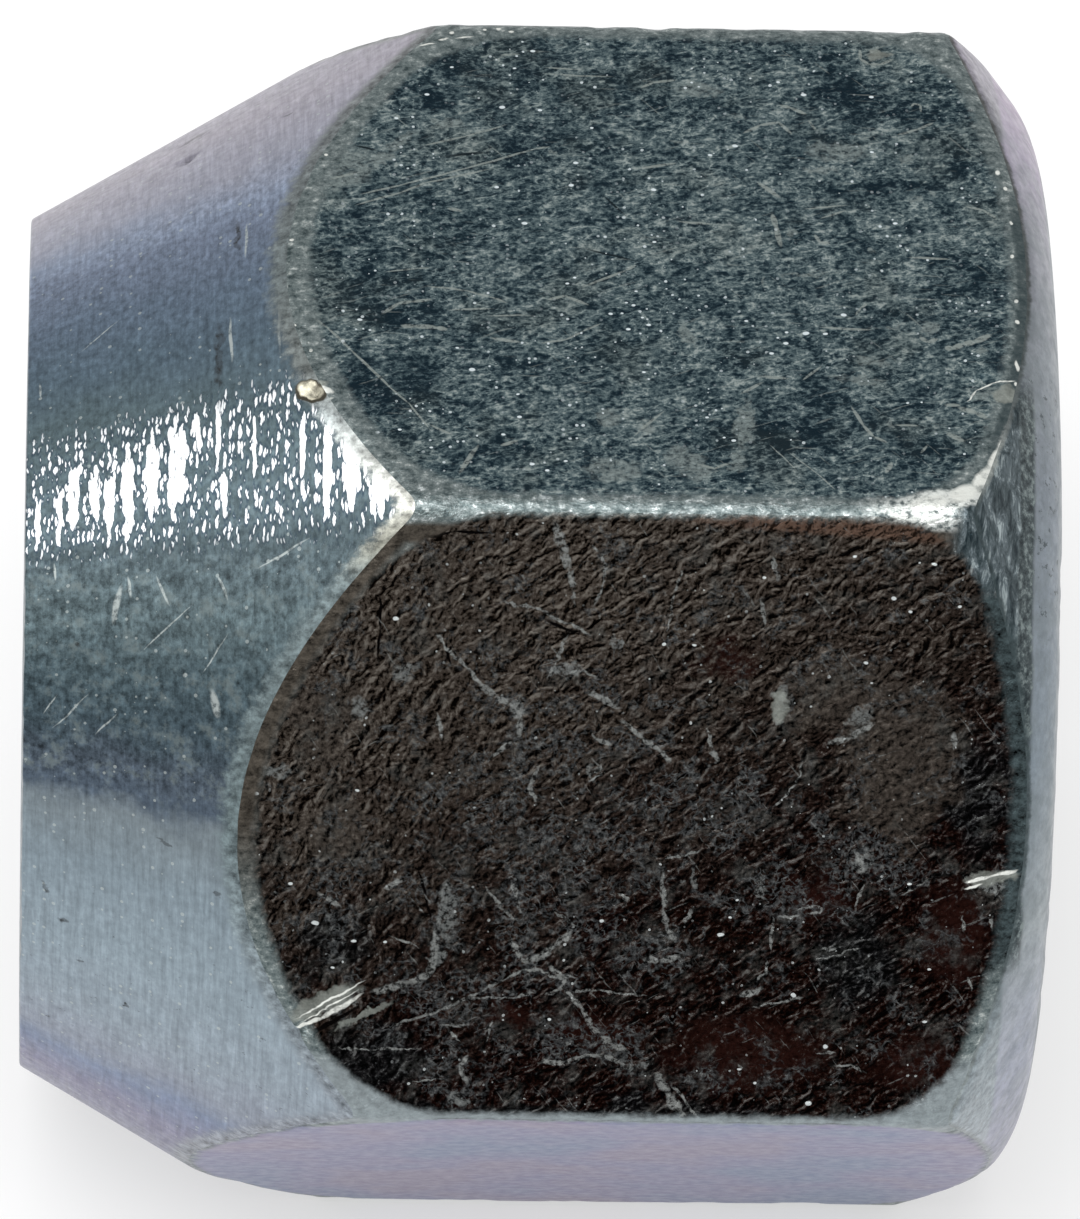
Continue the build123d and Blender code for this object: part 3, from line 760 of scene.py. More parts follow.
def marks(n, spot, table, firm=2.5):
    """1 on the marks of a table, fading at their ends and sides, and 0 elsewhere."""
    flat = n.vector("MULTIPLY_ADD", spot, (1, 1, 0), (0, 0, 1))
    nearest = 1.0
    for u, v, length, width, angle in table:
        if not in_window(n.window, u, v, length, width):
            continue
        a, b = 2 / length, 2 / width
        if angle == 0:
            off = n.vector("MULTIPLY_ADD", spot, (a, b, 0), (-a * u, -b * v, 0))
            away = n.vector("DOT_PRODUCT", off, off)
        else:
            c, s = math.cos(math.radians(angle)), math.sin(math.radians(angle))
            along = n.vector("DOT_PRODUCT", flat, (a * c, a * s, -a * (u * c + v * s)))
            aside = n.vector("DOT_PRODUCT", flat, (-b * s, b * c, b * (u * s - v * c)))
            away = n.scaled(aside, aside, n.times(along, along))
        nearest = n.least(nearest, away)
    if isinstance(nearest, float):
        return 0.0
    return n.least(n.times(n.less(1.0, nearest), firm), 1.0)


def in_window(window, u, v, length, width):
    """Whether a mark can show in a window (low u, high u, low v, high v) of its flat."""
    if not window:
        return True
    low_u, high_u, low_v, high_v = window
    leeway = 0.5    # for coordinates that are bent
    reach = max(length, width) / 2 + leeway
    return low_u - reach < u < high_u + reach and low_v - reach < v < high_v + reach


def drawn(table, overlap=1.3):
    """The marks that make up drawn lines."""
    pieces = []
    for width, *points in table:
        for (u0, v0), (u1, v1) in itertools.pairwise(points):
            run, fall = u1 - u0, v1 - v0
            turn = math.degrees(math.atan2(fall, run))
            pieces.append(((u0 + u1) / 2, (v0 + v1) / 2, overlap * math.hypot(run, fall), width, turn))
    return pieces


def dots(n, spot, table):
    """1 on the specks of a table, which are a little longer than wide."""
    return marks(n, spot, [(u, v, size * 0.75, size * 0.5, 0) for u, v, size in table], 2.0)


def specks(n, spot, scale, size, share):
    """Small spots on this share of the cells of a pattern with so many cells a millimetre."""
    cells = n.add("ShaderNodeTexVoronoi", {"Vector": spot, "Scale": scale}, voronoi_dimensions="2D")
    pick = n.add("ShaderNodeSeparateColor", {0: cells.outputs["Color"]})
    wide = n.times(n.plus(pick.outputs[1], 0.3), size * scale)
    spot_mask = n.math("LESS_THAN", cells.outputs["Distance"], wide)
    return n.times(spot_mask, n.math("LESS_THAN", pick.outputs[0], share))


def shifted(n, spot, u, v):
    """The coordinates moved, for a pattern of their own."""
    return n.vector("ADD", spot, (u, v, 0))


def turned(n, spot, angle):
    """Coordinates whose first axis runs at this angle from +u towards +v."""
    inputs = {"Vector": spot, "Rotation": (0, 0, math.radians(-angle))}
    return n.add("ShaderNodeMapping", inputs).outputs[0]


def hairlines(n, spot, angle, share):
    """Short fine scratches that all run at this angle from +u towards +v."""
    strokes = n.noise(turned(n, shifted(n, spot, angle, 0), angle), 1.0, 2.0, 0.5, (0.9, 13.0, 1))
    return n.span(strokes, share, share + 0.06)


def curls(n, spot, scale, width, bare=0.5):
    """Curled lines in patches, more of them the lower bare is."""
    field = n.noise(shifted(n, spot, 60 + scale, 9), scale, 2.0, 0.5)
    line = n.span(n.math("ABSOLUTE", n.less(field, 0.5)), 0.0, width, 1.0, 0.0)
    patches = n.span(n.noise(shifted(n, spot, scale, 90), 1.4, 3.0), bare, bare + 0.1)
    return n.times(line, patches)


def upper_flat(n, spot, u, v):
    """Navy plate, its navy a painted reflection, under a torn grey-green film, all broken up by fine grains,
    scratches and pale specks.
    """
    torn, line = n.bend(spot, 6.0, 0.2), n.bend(spot, 2.0, 0.03)
    leaned = turned(n, line, -14)
    film = n.noise(spot, 0.9, 8.0, 0.72, twist=0.4)
    grains = n.noise(spot, 10.0, 4.0, 0.72, (0.9, 1.1, 1))
    crumbs = n.noise(leaned, 5.0, 4.0, 0.65, (0.7, 1.3, 1), 0.6)
    blots = n.noise(shifted(n, torn, 30, 30), 2.6, 3.0, 0.6)
    scraps = n.most(curls(n, n.vector("MULTIPLY", leaned, (0.6, 1.5, 1)), 3.2, 0.055, 0.38),
                    curls(n, n.vector("MULTIPLY", line, (0.9, 1.1, 1)), 4.6, 0.05, 0.44))
    level = n.scaled(film, 0.4, n.scaled(grains, 0.62, n.times(crumbs, 0.4)))
    level = n.scaled(scraps, 0.085, n.scaled(blots, 0.14, level))
    level = n.less(level, n.times(marks(n, torn, DARK_PATCHES, 1.2), 0.07))
    level = n.less(level, n.times(marks(n, n.bend(spot, 1.5, 0.5), DARK_AREAS, 0.9), 0.05))
    level = n.scaled(n.less(level, 0.804), 1.5, 0.514)
    # Painted reflection: the navy tones stand in for dark surroundings mirrored in the flat.
    colour = n.ramp(level, [(0.35, (0.007, 0.018, 0.027)), (0.43, (0.024, 0.044, 0.056)),
                            (0.5, (0.058, 0.09, 0.103)), (0.57, (0.106, 0.148, 0.158)),
                            (0.65, (0.18, 0.23, 0.235)), (0.73, (0.33, 0.38, 0.37))])
    warm = n.span(n.noise(shifted(n, spot, 0, 40), 0.6, 5.0), 0.5, 0.64, 0.0, 0.3)
    colour = n.mix(warm, colour, n.ramp(level, [(0.4, (0.025, 0.034, 0.034)), (0.6, (0.15, 0.175, 0.165))]))
    broken = n.span(grains, 0.36, 0.5, 0.25, 1.0)
    flake = n.times(marks(n, torn, UPPER_FLAKES, 1.8), n.span(crumbs, 0.36, 0.5, 0.2, 0.8))
    flake = n.times(flake, n.span(grains, 0.36, 0.46, 0.3, 1.0))
    colour = n.mix(flake, colour, shade(n, (0.19, 0.228, 0.225), grains, 2.5))
    colour = n.mix(marks(n, line, drawn(UPPER_CRACKS), 1.2), colour, (0.01, 0.018, 0.023))
    fine = n.most(hairlines(n, line, -22, 0.66), hairlines(n, line, 48, 0.68))
    fine = n.most(fine, hairlines(n, line, 3, 0.66))
    scratch = n.most(n.times(fine, 0.5), marks(n, line, drawn(UPPER_LINES), 2.0))
    colour = n.mix(n.times(n.times(scratch, broken), 0.75), colour, (0.32, 0.36, 0.34))
    clusters = n.span(n.noise(shifted(n, spot, 5, 50), 0.8, 2.0), 0.45, 0.62, 0.15, 0.8)
    bright = n.times(specks(n, line, 9.0, 0.024, 0.13), clusters)
    bright = n.most(bright, dots(n, line, UPPER_SPECKS))
    return n.mix(bright, colour, (0.75, 0.83, 0.86)), level


def creases(n, spot, angle, scale):
    """Light and shade of short folds that run at this angle from +u towards +v, and their height."""
    along = turned(n, spot, angle)
    look = (scale, 4.0, 0.64, (0.75, 1.5, 1), 0.5)
    folds = n.noise(along, *look)
    beside = n.noise(shifted(n, along, 0.0, -0.14 / scale), *look)
    return n.less(folds, beside), folds


def lower_flat(n, spot, u, v):
    """Crumpled plate in painted brown reflection and painted fold shading, black and red towards the
    underside, under grey strands and scratches.
    """
    torn, line, area = n.bend(spot, 5.0, 0.25), n.bend(spot, 3.0, 0.06), n.bend(spot, 1.6, 0.7)
    # Painted light and shade: each set of folds is lit on one side and shaded on the other, from the
    # difference of two shifted copies of its noise.
    steep, steep_folds = creases(n, line, -58, 2.9)
    flat, flat_folds = creases(n, line, -38, 3.3)
    to_right = n.span(n.scaled(n.noise(spot, 0.8, 3.0), 5.0, u), -0.5, 2.5)
    fold_shading = n.mix_value(to_right, steep, flat)
    folds = n.mix_value(to_right, steep_folds, flat_folds)
    small = n.noise(shifted(n, line, 11, 4), 9.0, 4.0, 0.72)
    smooth = marks(n, area, LOWER_SMOOTH, 1.5)
    maroon = marks(n, area, LOWER_MAROON, 1.2)
    fold_shading = n.times(fold_shading, n.scaled(n.most(smooth, maroon), -0.5, 1.0))
    low = n.scaled(v, 0.6, n.times(u, 0.32))
    low = n.scaled(n.noise(shifted(n, spot, 3, 3), 0.8, 7.0, 0.7), 6.0, low)
    under = n.less(n.span(low, 6.4, 12.0), n.times(smooth, 0.5))
    # The colour's level carries the painted light and shade of the folds.
    light = n.scaled(fold_shading, 1.3, n.scaled(small, 0.85, 0.075))
    tan = n.ramp(light, [(0.36, (0.0012, 0.0008, 0.0006)), (0.43, (0.012, 0.0088, 0.0066)),
                         (0.48, (0.041, 0.033, 0.0265)), (0.56, (0.06, 0.0495, 0.041)),
                         (0.68, (0.145, 0.13, 0.112))])
    ruddy = n.ramp(light, [(0.4, (0.0006, 0.0003, 0.0003)), (0.5, (0.0045, 0.0016, 0.0011)),
                           (0.58, (0.013, 0.0048, 0.0036)), (0.65, (0.034, 0.025, 0.022)),
                           (0.73, (0.09, 0.085, 0.08))])
    slate = n.ramp(light, [(0.4, (0.0008, 0.001, 0.0011)), (0.5, (0.003, 0.004, 0.0046)),
                           (0.58, (0.011, 0.013, 0.0145)), (0.65, (0.038, 0.042, 0.043)),
                           (0.73, (0.1, 0.105, 0.105))])
    colour = n.mix(under, tan, ruddy)
    colour = n.mix(n.times(smooth, 0.55), colour, shade(n, (0.044, 0.0375, 0.032), light, 6.0))
    colour = n.mix(n.times(marks(n, area, LOWER_SLATE, 1.5), 0.75), colour, slate)
    deep = n.times(maroon, n.span(light, 0.5, 0.62, 0.8, 0.2))
    colour = n.mix(deep, colour, shade(n, (0.0165, 0.0056, 0.0043), small, 4.0))
    film = n.noise(shifted(n, spot, 0, 21), 1.3, 7.0, 0.72)
    veil = shade(n, (0.05, 0.052, 0.049), light, 5.0)
    colour = n.mix(n.span(film, 0.5, 0.66, 0.0, 0.55), colour, veil)
    close = n.times(marks(n, area, LOWER_STRANDS, 1.2), 0.12)
    patch = n.plus(n.noise(shifted(n, spot, 40, 9), 1.6, 4.0, 0.65), close)
    wide = n.times(n.span(patch, 0.5, 0.62), curls(n, line, 3.8, 0.06, 0.0))
    strands = n.most(wide, n.times(n.span(patch, 0.55, 0.66), curls(n, line, 6.4, 0.06, 0.0)))
    grey = n.ramp(small, [(0.4, (0.018, 0.02, 0.021)), (0.52, (0.06, 0.064, 0.066)),
                          (0.64, (0.14, 0.148, 0.147))])
    colour = n.mix(n.times(strands, n.span(small, 0.36, 0.46, 0.3, 0.85)), colour, grey)
    colour = n.mix(marks(n, line, drawn(LOWER_CRACKS), 1.5), colour, (0.002, 0.0015, 0.0015))
    broken = n.span(small, 0.4, 0.52, 0.15, 0.9)
    ragged = n.times(marks(n, torn, LOWER_SCUFFS, 1.6), n.span(small, 0.42, 0.52, 0.1, 0.7))
    colour = n.mix(ragged, colour, shade(n, (0.14, 0.15, 0.148), small, 4.0))
    lines = marks(n, n.bend(line, 7.0, 0.07), drawn(LOWER_LINES), 1.6)
    faint = n.most(hairlines(n, line, 52, 0.68), hairlines(n, line, -25, 0.69))
    lines = n.most(lines, n.times(faint, 0.5))
    colour = n.mix(n.times(lines, broken), colour, shade(n, (0.165, 0.173, 0.168), small, 5.0))
    fine = n.times(specks(n, line, 7.0, 0.02, 0.07), n.span(film, 0.45, 0.6, 0.1, 0.7))
    colour = n.mix(n.most(fine, dots(n, line, LOWER_SPECKS)), colour, (0.6, 0.64, 0.64))
    under_edge = n.band(n.scaled(u, -0.07, v), 5.38, 5.52, 0.14)
    rust = n.times(n.times(under_edge, n.span(u, 1.5, 3.8)), n.span(light, 0.4, 0.56, 0.1, 0.75))
    return n.mix(rust, colour, (0.115, 0.068, 0.048)), n.scaled(small, 0.3, folds)


def shade(n, colour, texture, strength):
    """A colour made lighter and darker by a texture whose middle is 0.5."""
    return n.vector("MULTIPLY", colour, n.scaled(n.less(texture, 0.5), strength, 1.0))


def cone(n, spot, u, heading):
    """Fine turning marks round the seat in bands of painted reflection, and a painted highlight of bright
    drops drawn out along it.
    """
    line = n.bend(spot, 2.0, 0.04)
    grain = n.noise(spot, 9.0, 4.0, 0.7, (1.0, 0.75, 1))
    rings = n.noise(spot, 1.0, 5.0, 0.7, (11.0, 0.9, 1), 0.2)
    lean = n.times(n.plus(u, 8.5), n.scaled(heading, -0.0185, 1.13))
    wander = n.scaled(n.noise(spot, 0.9, 7.0, 0.68), 9.0, n.less(heading, lean))
    colour = tones(n, n.less(wander, 4.5), CONE_REFLECTION_TONES)
    dull = n.band(heading, 33.0, 55.0, 5.0)
    plain = n.band(heading, -14.0, 54.0, 6.0)
    colour = shade(n, colour, grain, n.scaled(dull, 1.2, n.scaled(plain, 1.3, 0.7)))
    colour = shade(n, colour, rings, 1.1)
    mottle = n.noise(shifted(n, spot, 20, 0), 2.4, 7.0, 0.72)
    colour = shade(n, colour, mottle, n.scaled(dull, 2.2, 0.5))
    colour = n.mix(n.times(n.span(mottle, 0.5, 0.66, 0.0, 0.7), dull), colour, (0.17, 0.205, 0.205))
    away = n.span(n.math("ABSOLUTE", n.less(heading, 20.0)), 40.0, 60.0)
    pits = n.span(n.noise(spot, 4.5, 4.0, 0.75, (0.8, 1.2, 1)), 0.31, 0.36, 0.7, 0.0)
    colour = n.mix(n.times(pits, away), colour, (0.08, 0.09, 0.1))
    pale = n.times(specks(n, spot, 6.0, 0.025, 0.16), 0.5)
    broken = n.span(grain, 0.38, 0.56, 0.25, 1.0)
    cuts = n.times(marks(n, line, CONE_SCRATCHES, 1.5), n.times(broken, 0.85))
    colour = n.mix(n.most(pale, cuts), colour, (0.5, 0.55, 0.54))
    dark = marks(n, n.bend(spot, 6.0, 0.12), CONE_DARKS, 1.5)
    colour = n.mix(n.times(dark, n.span(grain, 0.35, 0.5, 0.9, 0.5)), colour, (0.035, 0.035, 0.035))
    # Painted highlight: bright drops drawn out along the cone between headings of about 19 and 32 degrees,
    # with darker painted gaps round them.
    highlight_streaks = [(at, middle * ARC, wide, tall * ARC, 0) for at, middle, wide, tall in CONE_HIGHLIGHT_STREAKS]
    lit = marks(n, line, highlight_streaks, 1.2)
    zone = n.band(n.scaled(rings, 8.0, heading), 19.0, 32.0, 4.0)
    drawn_out = n.vector("MULTIPLY", n.bend(spot, 5.0, 0.06), (14.0, 3.8, 1))
    drops = n.add("ShaderNodeTexVoronoi", {"Vector": drawn_out, "Scale": 1.0}, voronoi_dimensions="2D")
    pick = n.add("ShaderNodeSeparateColor", {0: drops.outputs["Color"]}).outputs[0]
    fill = n.scaled(lit, 0.72, n.scaled(pick, 0.36, 0.08))
    fill = n.times(n.times(fill, zone), n.scaled(rings, 2.6, -0.3))
    short = n.less(drops.outputs["Distance"], fill)
    colour = n.mix(n.times(n.span(short, 0.0, 0.3, 0.8, 0.0), zone), colour, (0.035, 0.06, 0.09))
    return n.mix(n.times(n.span(short, -0.14, 0.02, 1.0, 0.0), zone), colour, (0.95, 0.98, 1.0)), rings


def crown(n, spot, heading, rim):
    """A pale lip, clouded, and outside it the shoulder that cuts the hexagon's corners, in painted
    reflections and a painted highlight.
    """
    grain = n.noise(spot, 7.0, 4.0, 0.7)
    colour = shade(n, tones(n, heading, CROWN_REFLECTION_TONES), grain, 0.8)
    colour = n.mix(n.span(n.noise(spot, 1.6, 7.0, 0.7), 0.44, 0.6, 0.0, 0.4), colour, (0.16, 0.19, 0.2))
    scribble = n.band(heading, 12.0, 36.0, 6.0)
    strokes = n.noise(spot, 3.0, 5.0, 0.75, (0.6, 1.5, 1.5))
    colour = n.mix(n.times(n.span(strokes, 0.37, 0.41, 0.8, 0.0), scribble), colour, (0.05, 0.065, 0.07))
    out = n.vector("SUBTRACT", n.vector("MULTIPLY", spot, (0, 1, 1)), (0, RUNOUT_Y, RUNOUT_Z))
    reach = n.scaled(grain, 0.2, n.vector("LENGTH", out))
    # Painted reflection: a dark inner ring on the crown from about 16 to 70 degrees.
    inner = n.ramp(grain, [(0.35, (0.02, 0.028, 0.032)), (0.5, (0.07, 0.09, 0.095)),
                           (0.62, (0.2, 0.24, 0.24))])
    colour = n.mix(n.times(n.span(reach, 9.56, 9.66), n.band(heading, 16.0, 70.0, 6.0)), colour, inner)
    shoulder = shade(n, tones(n, heading, SHOULDER_REFLECTION_TONES), grain, 2.0)
    shoulder = n.mix(n.band(heading, 4.0, 36.0, 4.0), shoulder, scribbled(n, spot, (2.4, 0.7, 0.7)))
    colour = n.mix(n.span(reach, 9.92, 10.02), colour, shoulder)
    ragged = n.scaled(n.noise(spot, 4.0, 5.0, 0.7), 0.12, rim)
    # The line at the rim: painted reflections, with a painted highlight near 23 degrees.
    line = shade(n, tones(n, heading, CROWN_LINE_REFLECTIONS), grain, 2.0)
    return n.mix(n.span(ragged, -0.05, 0.0, 0.0, 0.9), colour, line)


def inside_flat(n, v, seat, crown_at, bands):
    """How far a point is inside its flat's own field, whose corners are round, in millimetres.
    bands are the widths of the worn borders along the long edges, the seat and the crown."""
    to_edge = n.math("PINGPONG", n.plus(v, SIDE / 2), SIDE / 2)
    from_seat = n.times(seat, -1 / math.sin(SEAT_SLOPE))
    from_crown = n.times(crown_at, -1 / math.cos(CROWN_SLOPE))
    corner = 1.3
    ways = zip((to_edge, from_seat, from_crown), bands)
    short = [n.most(n.less(corner + band, away), 0.0) for away, band in ways]
    reach = n.vector("LENGTH", n.add("ShaderNodeCombineXYZ", dict(enumerate(short))).outputs[0])
    return n.less(corner, reach)


def border_wear_and_highlight(n, spot, u, v, seat, by_seat, by_crown):
    """The worn border round a flat: grey, and bright with a painted highlight along the long edge in view.
    by_seat is its colour along the seat and just under that edge, and by_crown that along the crown."""
    grit = n.noise(spot, 5.0, 5.0, 0.75, (1.0, 1.2, 1))
    quiet = n.ramp(grit, [(0.37, (0.05, 0.07, 0.074)), (0.46, (0.13, 0.162, 0.164)),
                          (0.54, (0.188, 0.225, 0.226)), (0.6, (0.29, 0.33, 0.325)),
                          (0.67, (0.55, 0.59, 0.57))])
    # Painted reflection of the floor: a pale band along the rounded edge under the lower flat.
    pale = shade(n, (0.27, 0.31, 0.325), grit, 1.6)
    quiet = n.mix(n.band(v, LOWER_EDGE - 0.9, LOWER_EDGE + 0.3, 0.5), quiet, pale)
    if by_seat:
        beside = n.times(n.span(seat, -0.3, -0.1), n.span(v, 11.0, 13.5, 1.0, 0.0))
        close = n.most(beside, n.band(v, UPPER_EDGE, UPPER_EDGE + 0.6, 0.2))
        quiet = n.mix(close, quiet, shade(n, by_seat, grit, 5.0))
    if by_crown:
        side = n.times(n.span(u, 6.6, 7.2), n.band(v, UPPER_EDGE + 0.5, LOWER_EDGE - 3.2, 0.9))
        quiet = n.mix(side, quiet, shade(n, by_crown, grit, 6.0))
    # Painted highlight along the long edge in view: speckled grey to white, whitest towards its right end
    # and in a patch near its left end.
    bright = n.ramp(grit, [(0.36, (0.06, 0.08, 0.085)), (0.46, (0.125, 0.155, 0.155)),
                           (0.57, (0.23, 0.265, 0.265)), (0.7, (0.8, 0.85, 0.85))])
    glare = n.most(n.span(u, 4.9, 6.2, 0.0, 0.85), n.times(n.band(u, -4.5, -2.9, 0.4), 0.7))
    bright = n.mix(n.times(glare, n.span(grit, 0.38, 0.58, 0.05, 1.0)), bright, (0.88, 0.91, 0.87))
    start = n.span(u, 7.1, 7.7, UPPER_EDGE - 0.45, UPPER_EDGE - 2.0)
    colour = n.mix(n.band(v, start, UPPER_EDGE + 0.24, 0.14), quiet, bright)
    round_end = n.vector("LENGTH", n.vector("SUBTRACT", n.bend(spot, 3.0, 0.15), (6.1, 3.85, 0.0)))
    beyond = n.times(n.span(round_end, 1.62, 1.74), n.span(u, 6.5, 6.9))
    beyond = n.times(beyond, n.band(v, 4.1, 6.6, 0.5))
    return n.mix(beyond, colour, scribbled(n, spot, (2.4, 0.7, 1)))


def scribbled(n, spot, stretch):
    """The dark, scratched plate beyond the right end of the long edge in view."""
    strokes = n.noise(spot, 3.0, 5.0, 0.72, stretch, 0.5)
    return n.ramp(strokes, [(0.37, (0.016, 0.026, 0.032)), (0.46, (0.055, 0.075, 0.082)),
                            (0.55, (0.12, 0.15, 0.165)), (0.64, (0.36, 0.42, 0.43))])


def skin_spot(n):
    """The skin's coordinates, and its u and its v."""
    spot = n.add("ShaderNodeUVMap", {}, uv_map="skin").outputs[0]
    at = n.add("ShaderNodeSeparateXYZ", {0: spot})
    return spot, at.outputs[0], at.outputs[1]


def spot_in_mm(n):
    """The nut's own coordinates in millimetres."""
    place = n.add("ShaderNodeTexCoord", {}).outputs["Object"]
    return n.vector("MULTIPLY", place, (1 / MM, 1 / MM, 1 / MM))


def gap(n, name):
    """How far a point is outside the seat's cone, the crown's cone or the hexagon, as the mesh says."""
    return n.add("ShaderNodeAttribute", {}, attribute_name=name).outputs["Fac"]


def heading_of(n):
    """Degrees round the thread axis, from +Z down the side in view."""
    place = n.add("ShaderNodeSeparateXYZ", {0: n.add("ShaderNodeTexCoord", {}).outputs["Object"]})
    turn = n.math("ARCTAN2", n.times(place.outputs[1], -1.0), place.outputs[2])
    return n.times(turn, 180 / math.pi)


def plate(n, spot, colour, relief, depth, smooth=0.3, rough=0.45):
    """Ties a zone's colour, gloss and relief to its shader."""
    n.link(n.shader.inputs["Base Color"], colour)
    n.link(n.shader.inputs["Metallic"], 1.0)
    n.link(n.shader.inputs["Roughness"], n.span(n.noise(spot, 4.0), 0.3, 0.7, smooth, rough))
    height = n.times(relief, depth)
    bump = n.add("ShaderNodeBump", {"Height": height, "Distance": MM, "Strength": 1.0})
    n.link(n.shader.inputs["Normal"], bump.outputs[0])
    return n.material


def flat_material(name, field, bands, depth, by_seat=None, by_crown=None, nicks=(), burrs=(), window=None):
    """One flat: its own field inside a worn border with a painted highlight, with dull burrs and bright
    nicks over both.
    """
    n = Nodes(name, window)
    spot, u, v = skin_spot(n)
    colour, relief = field(n, spot, u, v)
    seat = gap(n, "seat_gap")
    patchy = n.noise(spot, 3.0, 6.0, 0.7)
    ragged = n.scaled(patchy, 0.35, -0.175)
    within = n.plus(inside_flat(n, v, seat, gap(n, "crown_gap"), bands), ragged)
    border = border_wear_and_highlight(n, spot, u, v, seat, by_seat, by_crown)
    lip = n.span(n.scaled(patchy, 0.16, gap(n, "crown_gap")), -0.12, -0.05)
    lip = n.times(lip, n.band(v, -1.0, 3.6, 1.2))
    border = n.mix(n.times(lip, 0.75), border, (0.04, 0.06, 0.066))
    colour = n.mix(n.span(within, -0.1, 0.12), border, colour)
    if nicks:
        raised = marks(n, n.bend(spot, 5.0, 0.15), burrs, 2.0)
        raised = n.times(raised, n.span(within, -0.4, 0.6, 0.9, 0.6))
        colour = n.mix(raised, colour, shade(n, (0.26, 0.28, 0.255), patchy, 3.0))
        # Bright nicks; on the upper flat these marks also paint highlights along the rims.
        bare = marks(n, n.bend(spot, 4.0, 0.05), drawn(nicks), 1.5)
        bare = n.times(bare, n.span(patchy, 0.36, 0.5, 0.5, 1.0))
        colour = n.mix(bare, colour, (0.85, 0.87, 0.82))
    return plate(n, spot, colour, relief, depth)


def windowed(name, middle, *settings):
    """A flat's material for each of its windows, with only the marks that can show there."""
    halves = ((middle - FAR, middle), (middle, middle + FAR))
    windows = itertools.product(itertools.pairwise(WINDOW_EDGES), halves)
    return [flat_material(f"{name}_{i}", *settings, window=(*along, *half))
            for i, (along, half) in enumerate(windows)]


def sliver_reflection_field(n, spot, u, v):
    """Pale plate, its paleness a painted reflection of the floor, with the clear passivate's faint rainbow.
    """
    hue = n.noise(spot, 0.28, 3.0, 0.5)
    # Painted reflection: the pale lilac tones stand in for the floor mirrored in the sliver.
    colour = n.ramp(hue, [(0.36, (0.2, 0.24, 0.36)), (0.5, (0.245, 0.235, 0.36)),
                          (0.6, (0.275, 0.24, 0.335))])
    colour = shade(n, colour, n.noise(spot, 6.0, 5.0, 0.7), 0.2)
    pits = n.span(n.noise(spot, 4.0, 5.0, 0.75), 0.28, 0.33, 0.5, 0.0)
    return n.mix(pits, colour, (0.12, 0.13, 0.14)), n.noise(spot, 6.0, 4.0)


def plain_field(n, spot, u, v):
    """A side out of sight: evenly dulled plate with faint grain."""
    cloud = n.noise(spot, 0.9, 8.0, 0.65)
    colour = n.ramp(cloud, [(0.35, (0.1, 0.125, 0.14)), (0.5, (0.13, 0.155, 0.17)),
                            (0.65, (0.19, 0.22, 0.235))])
    grains = n.noise(spot, 8.0, 3.0, 0.65, (0.7, 1.5, 1))
    return n.mix(n.span(grains, 0.38, 0.46, 0.5, 0.0), colour, (0.05, 0.065, 0.075)), grains


def seat_material():
    """The seat's cone, its worn rim in painted reflections and a painted highlight, and a pale burr where
    the long edge in view meets it.
    """
    n = Nodes("zinc_plate_seat")
    spot, u, _ = skin_spot(n)
    heading = heading_of(n)
    ringed = n.add("ShaderNodeCombineXYZ", {0: u, 1: n.times(heading, ARC)}).outputs[0]
    colour, relief = cone(n, ringed, u, heading)
    grit = n.noise(spot, 5.0, 6.0, 0.7)
    rim = n.scaled(grit, 0.3, n.less(gap(n, "side_gap"), 0.15))
    # Painted reflections round the rim, with a painted highlight near 26 degrees.
    border = shade(n, tones(n, heading, RIM_REFLECTION_TONES), grit, 4.0)
    colour = n.mix(n.span(rim, -0.24, -0.08), colour, border)
    torn = n.bend(ringed, 5.0, 0.08)
    colour = n.mix(marks(n, torn, CONE_BURR_FOOT, 4.0), colour, (0.07, 0.065, 0.05))
    colour = n.mix(marks(n, torn, CONE_BURR, 2.0), colour, shade(n, (0.62, 0.59, 0.47), grit, 5.0))
    return plate(n, spot, colour, relief, 0.012)


def crown_material():
    """The crowned outer end."""
    n = Nodes("zinc_plate_crown")
    around = spot_in_mm(n)
    colour = crown(n, around, heading_of(n), gap(n, "side_gap"))
    return plate(n, around, colour, n.noise(around, 3.0, 5.0), 0.012)


def end_material():
    """The two end faces, turned and plated."""
    n = Nodes("zinc_plate_end")
    around = spot_in_mm(n)
    reach = n.vector("LENGTH", n.vector("MULTIPLY", around, (0, 1, 1)))
    rings = n.noise(n.add("ShaderNodeCombineXYZ", {0: reach}).outputs[0], 6.0, 3.0)
    cloud = n.noise(around, 1.2, 7.0, 0.65)
    colour = n.ramp(cloud, [(0.35, (0.17, 0.2, 0.22)), (0.5, (0.24, 0.27, 0.3)), (0.65, (0.3, 0.33, 0.35))])
    colour = n.mix(n.span(rings, 0.35, 0.65, 0.0, 0.35), colour, (0.12, 0.145, 0.16))
    return plate(n, around, colour, rings, 0.012)


def bore_material():
    """Cut thread under thin plate: fine lines along the helix and duller patches."""
    n = Nodes("zinc_plate_thread")
    around = spot_in_mm(n)
    lines = n.noise(around, 1.0, 4.0, 0.65, (9.0, 0.6, 0.6))
    cloud = n.noise(around, 0.9, 6.0, 0.65)
    colour = n.ramp(cloud, [(0.35, (0.19, 0.21, 0.23)), (0.5, (0.29, 0.32, 0.34)),
                            (0.65, (0.36, 0.38, 0.4))])
    colour = n.mix(n.span(lines, 0.38, 0.6, 0.4, 0.0), colour, (0.1, 0.115, 0.125))
    return plate(n, around, colour, lines, 0.01, 0.32, 0.48)


# ---------------------------------------------------------------- camera, floor and light

def put(name, data):
    """A new thing in the scene."""
    thing = bpy.data.objects.new(name, data)
    bpy.context.scene.collection.objects.link(thing)
    return thing


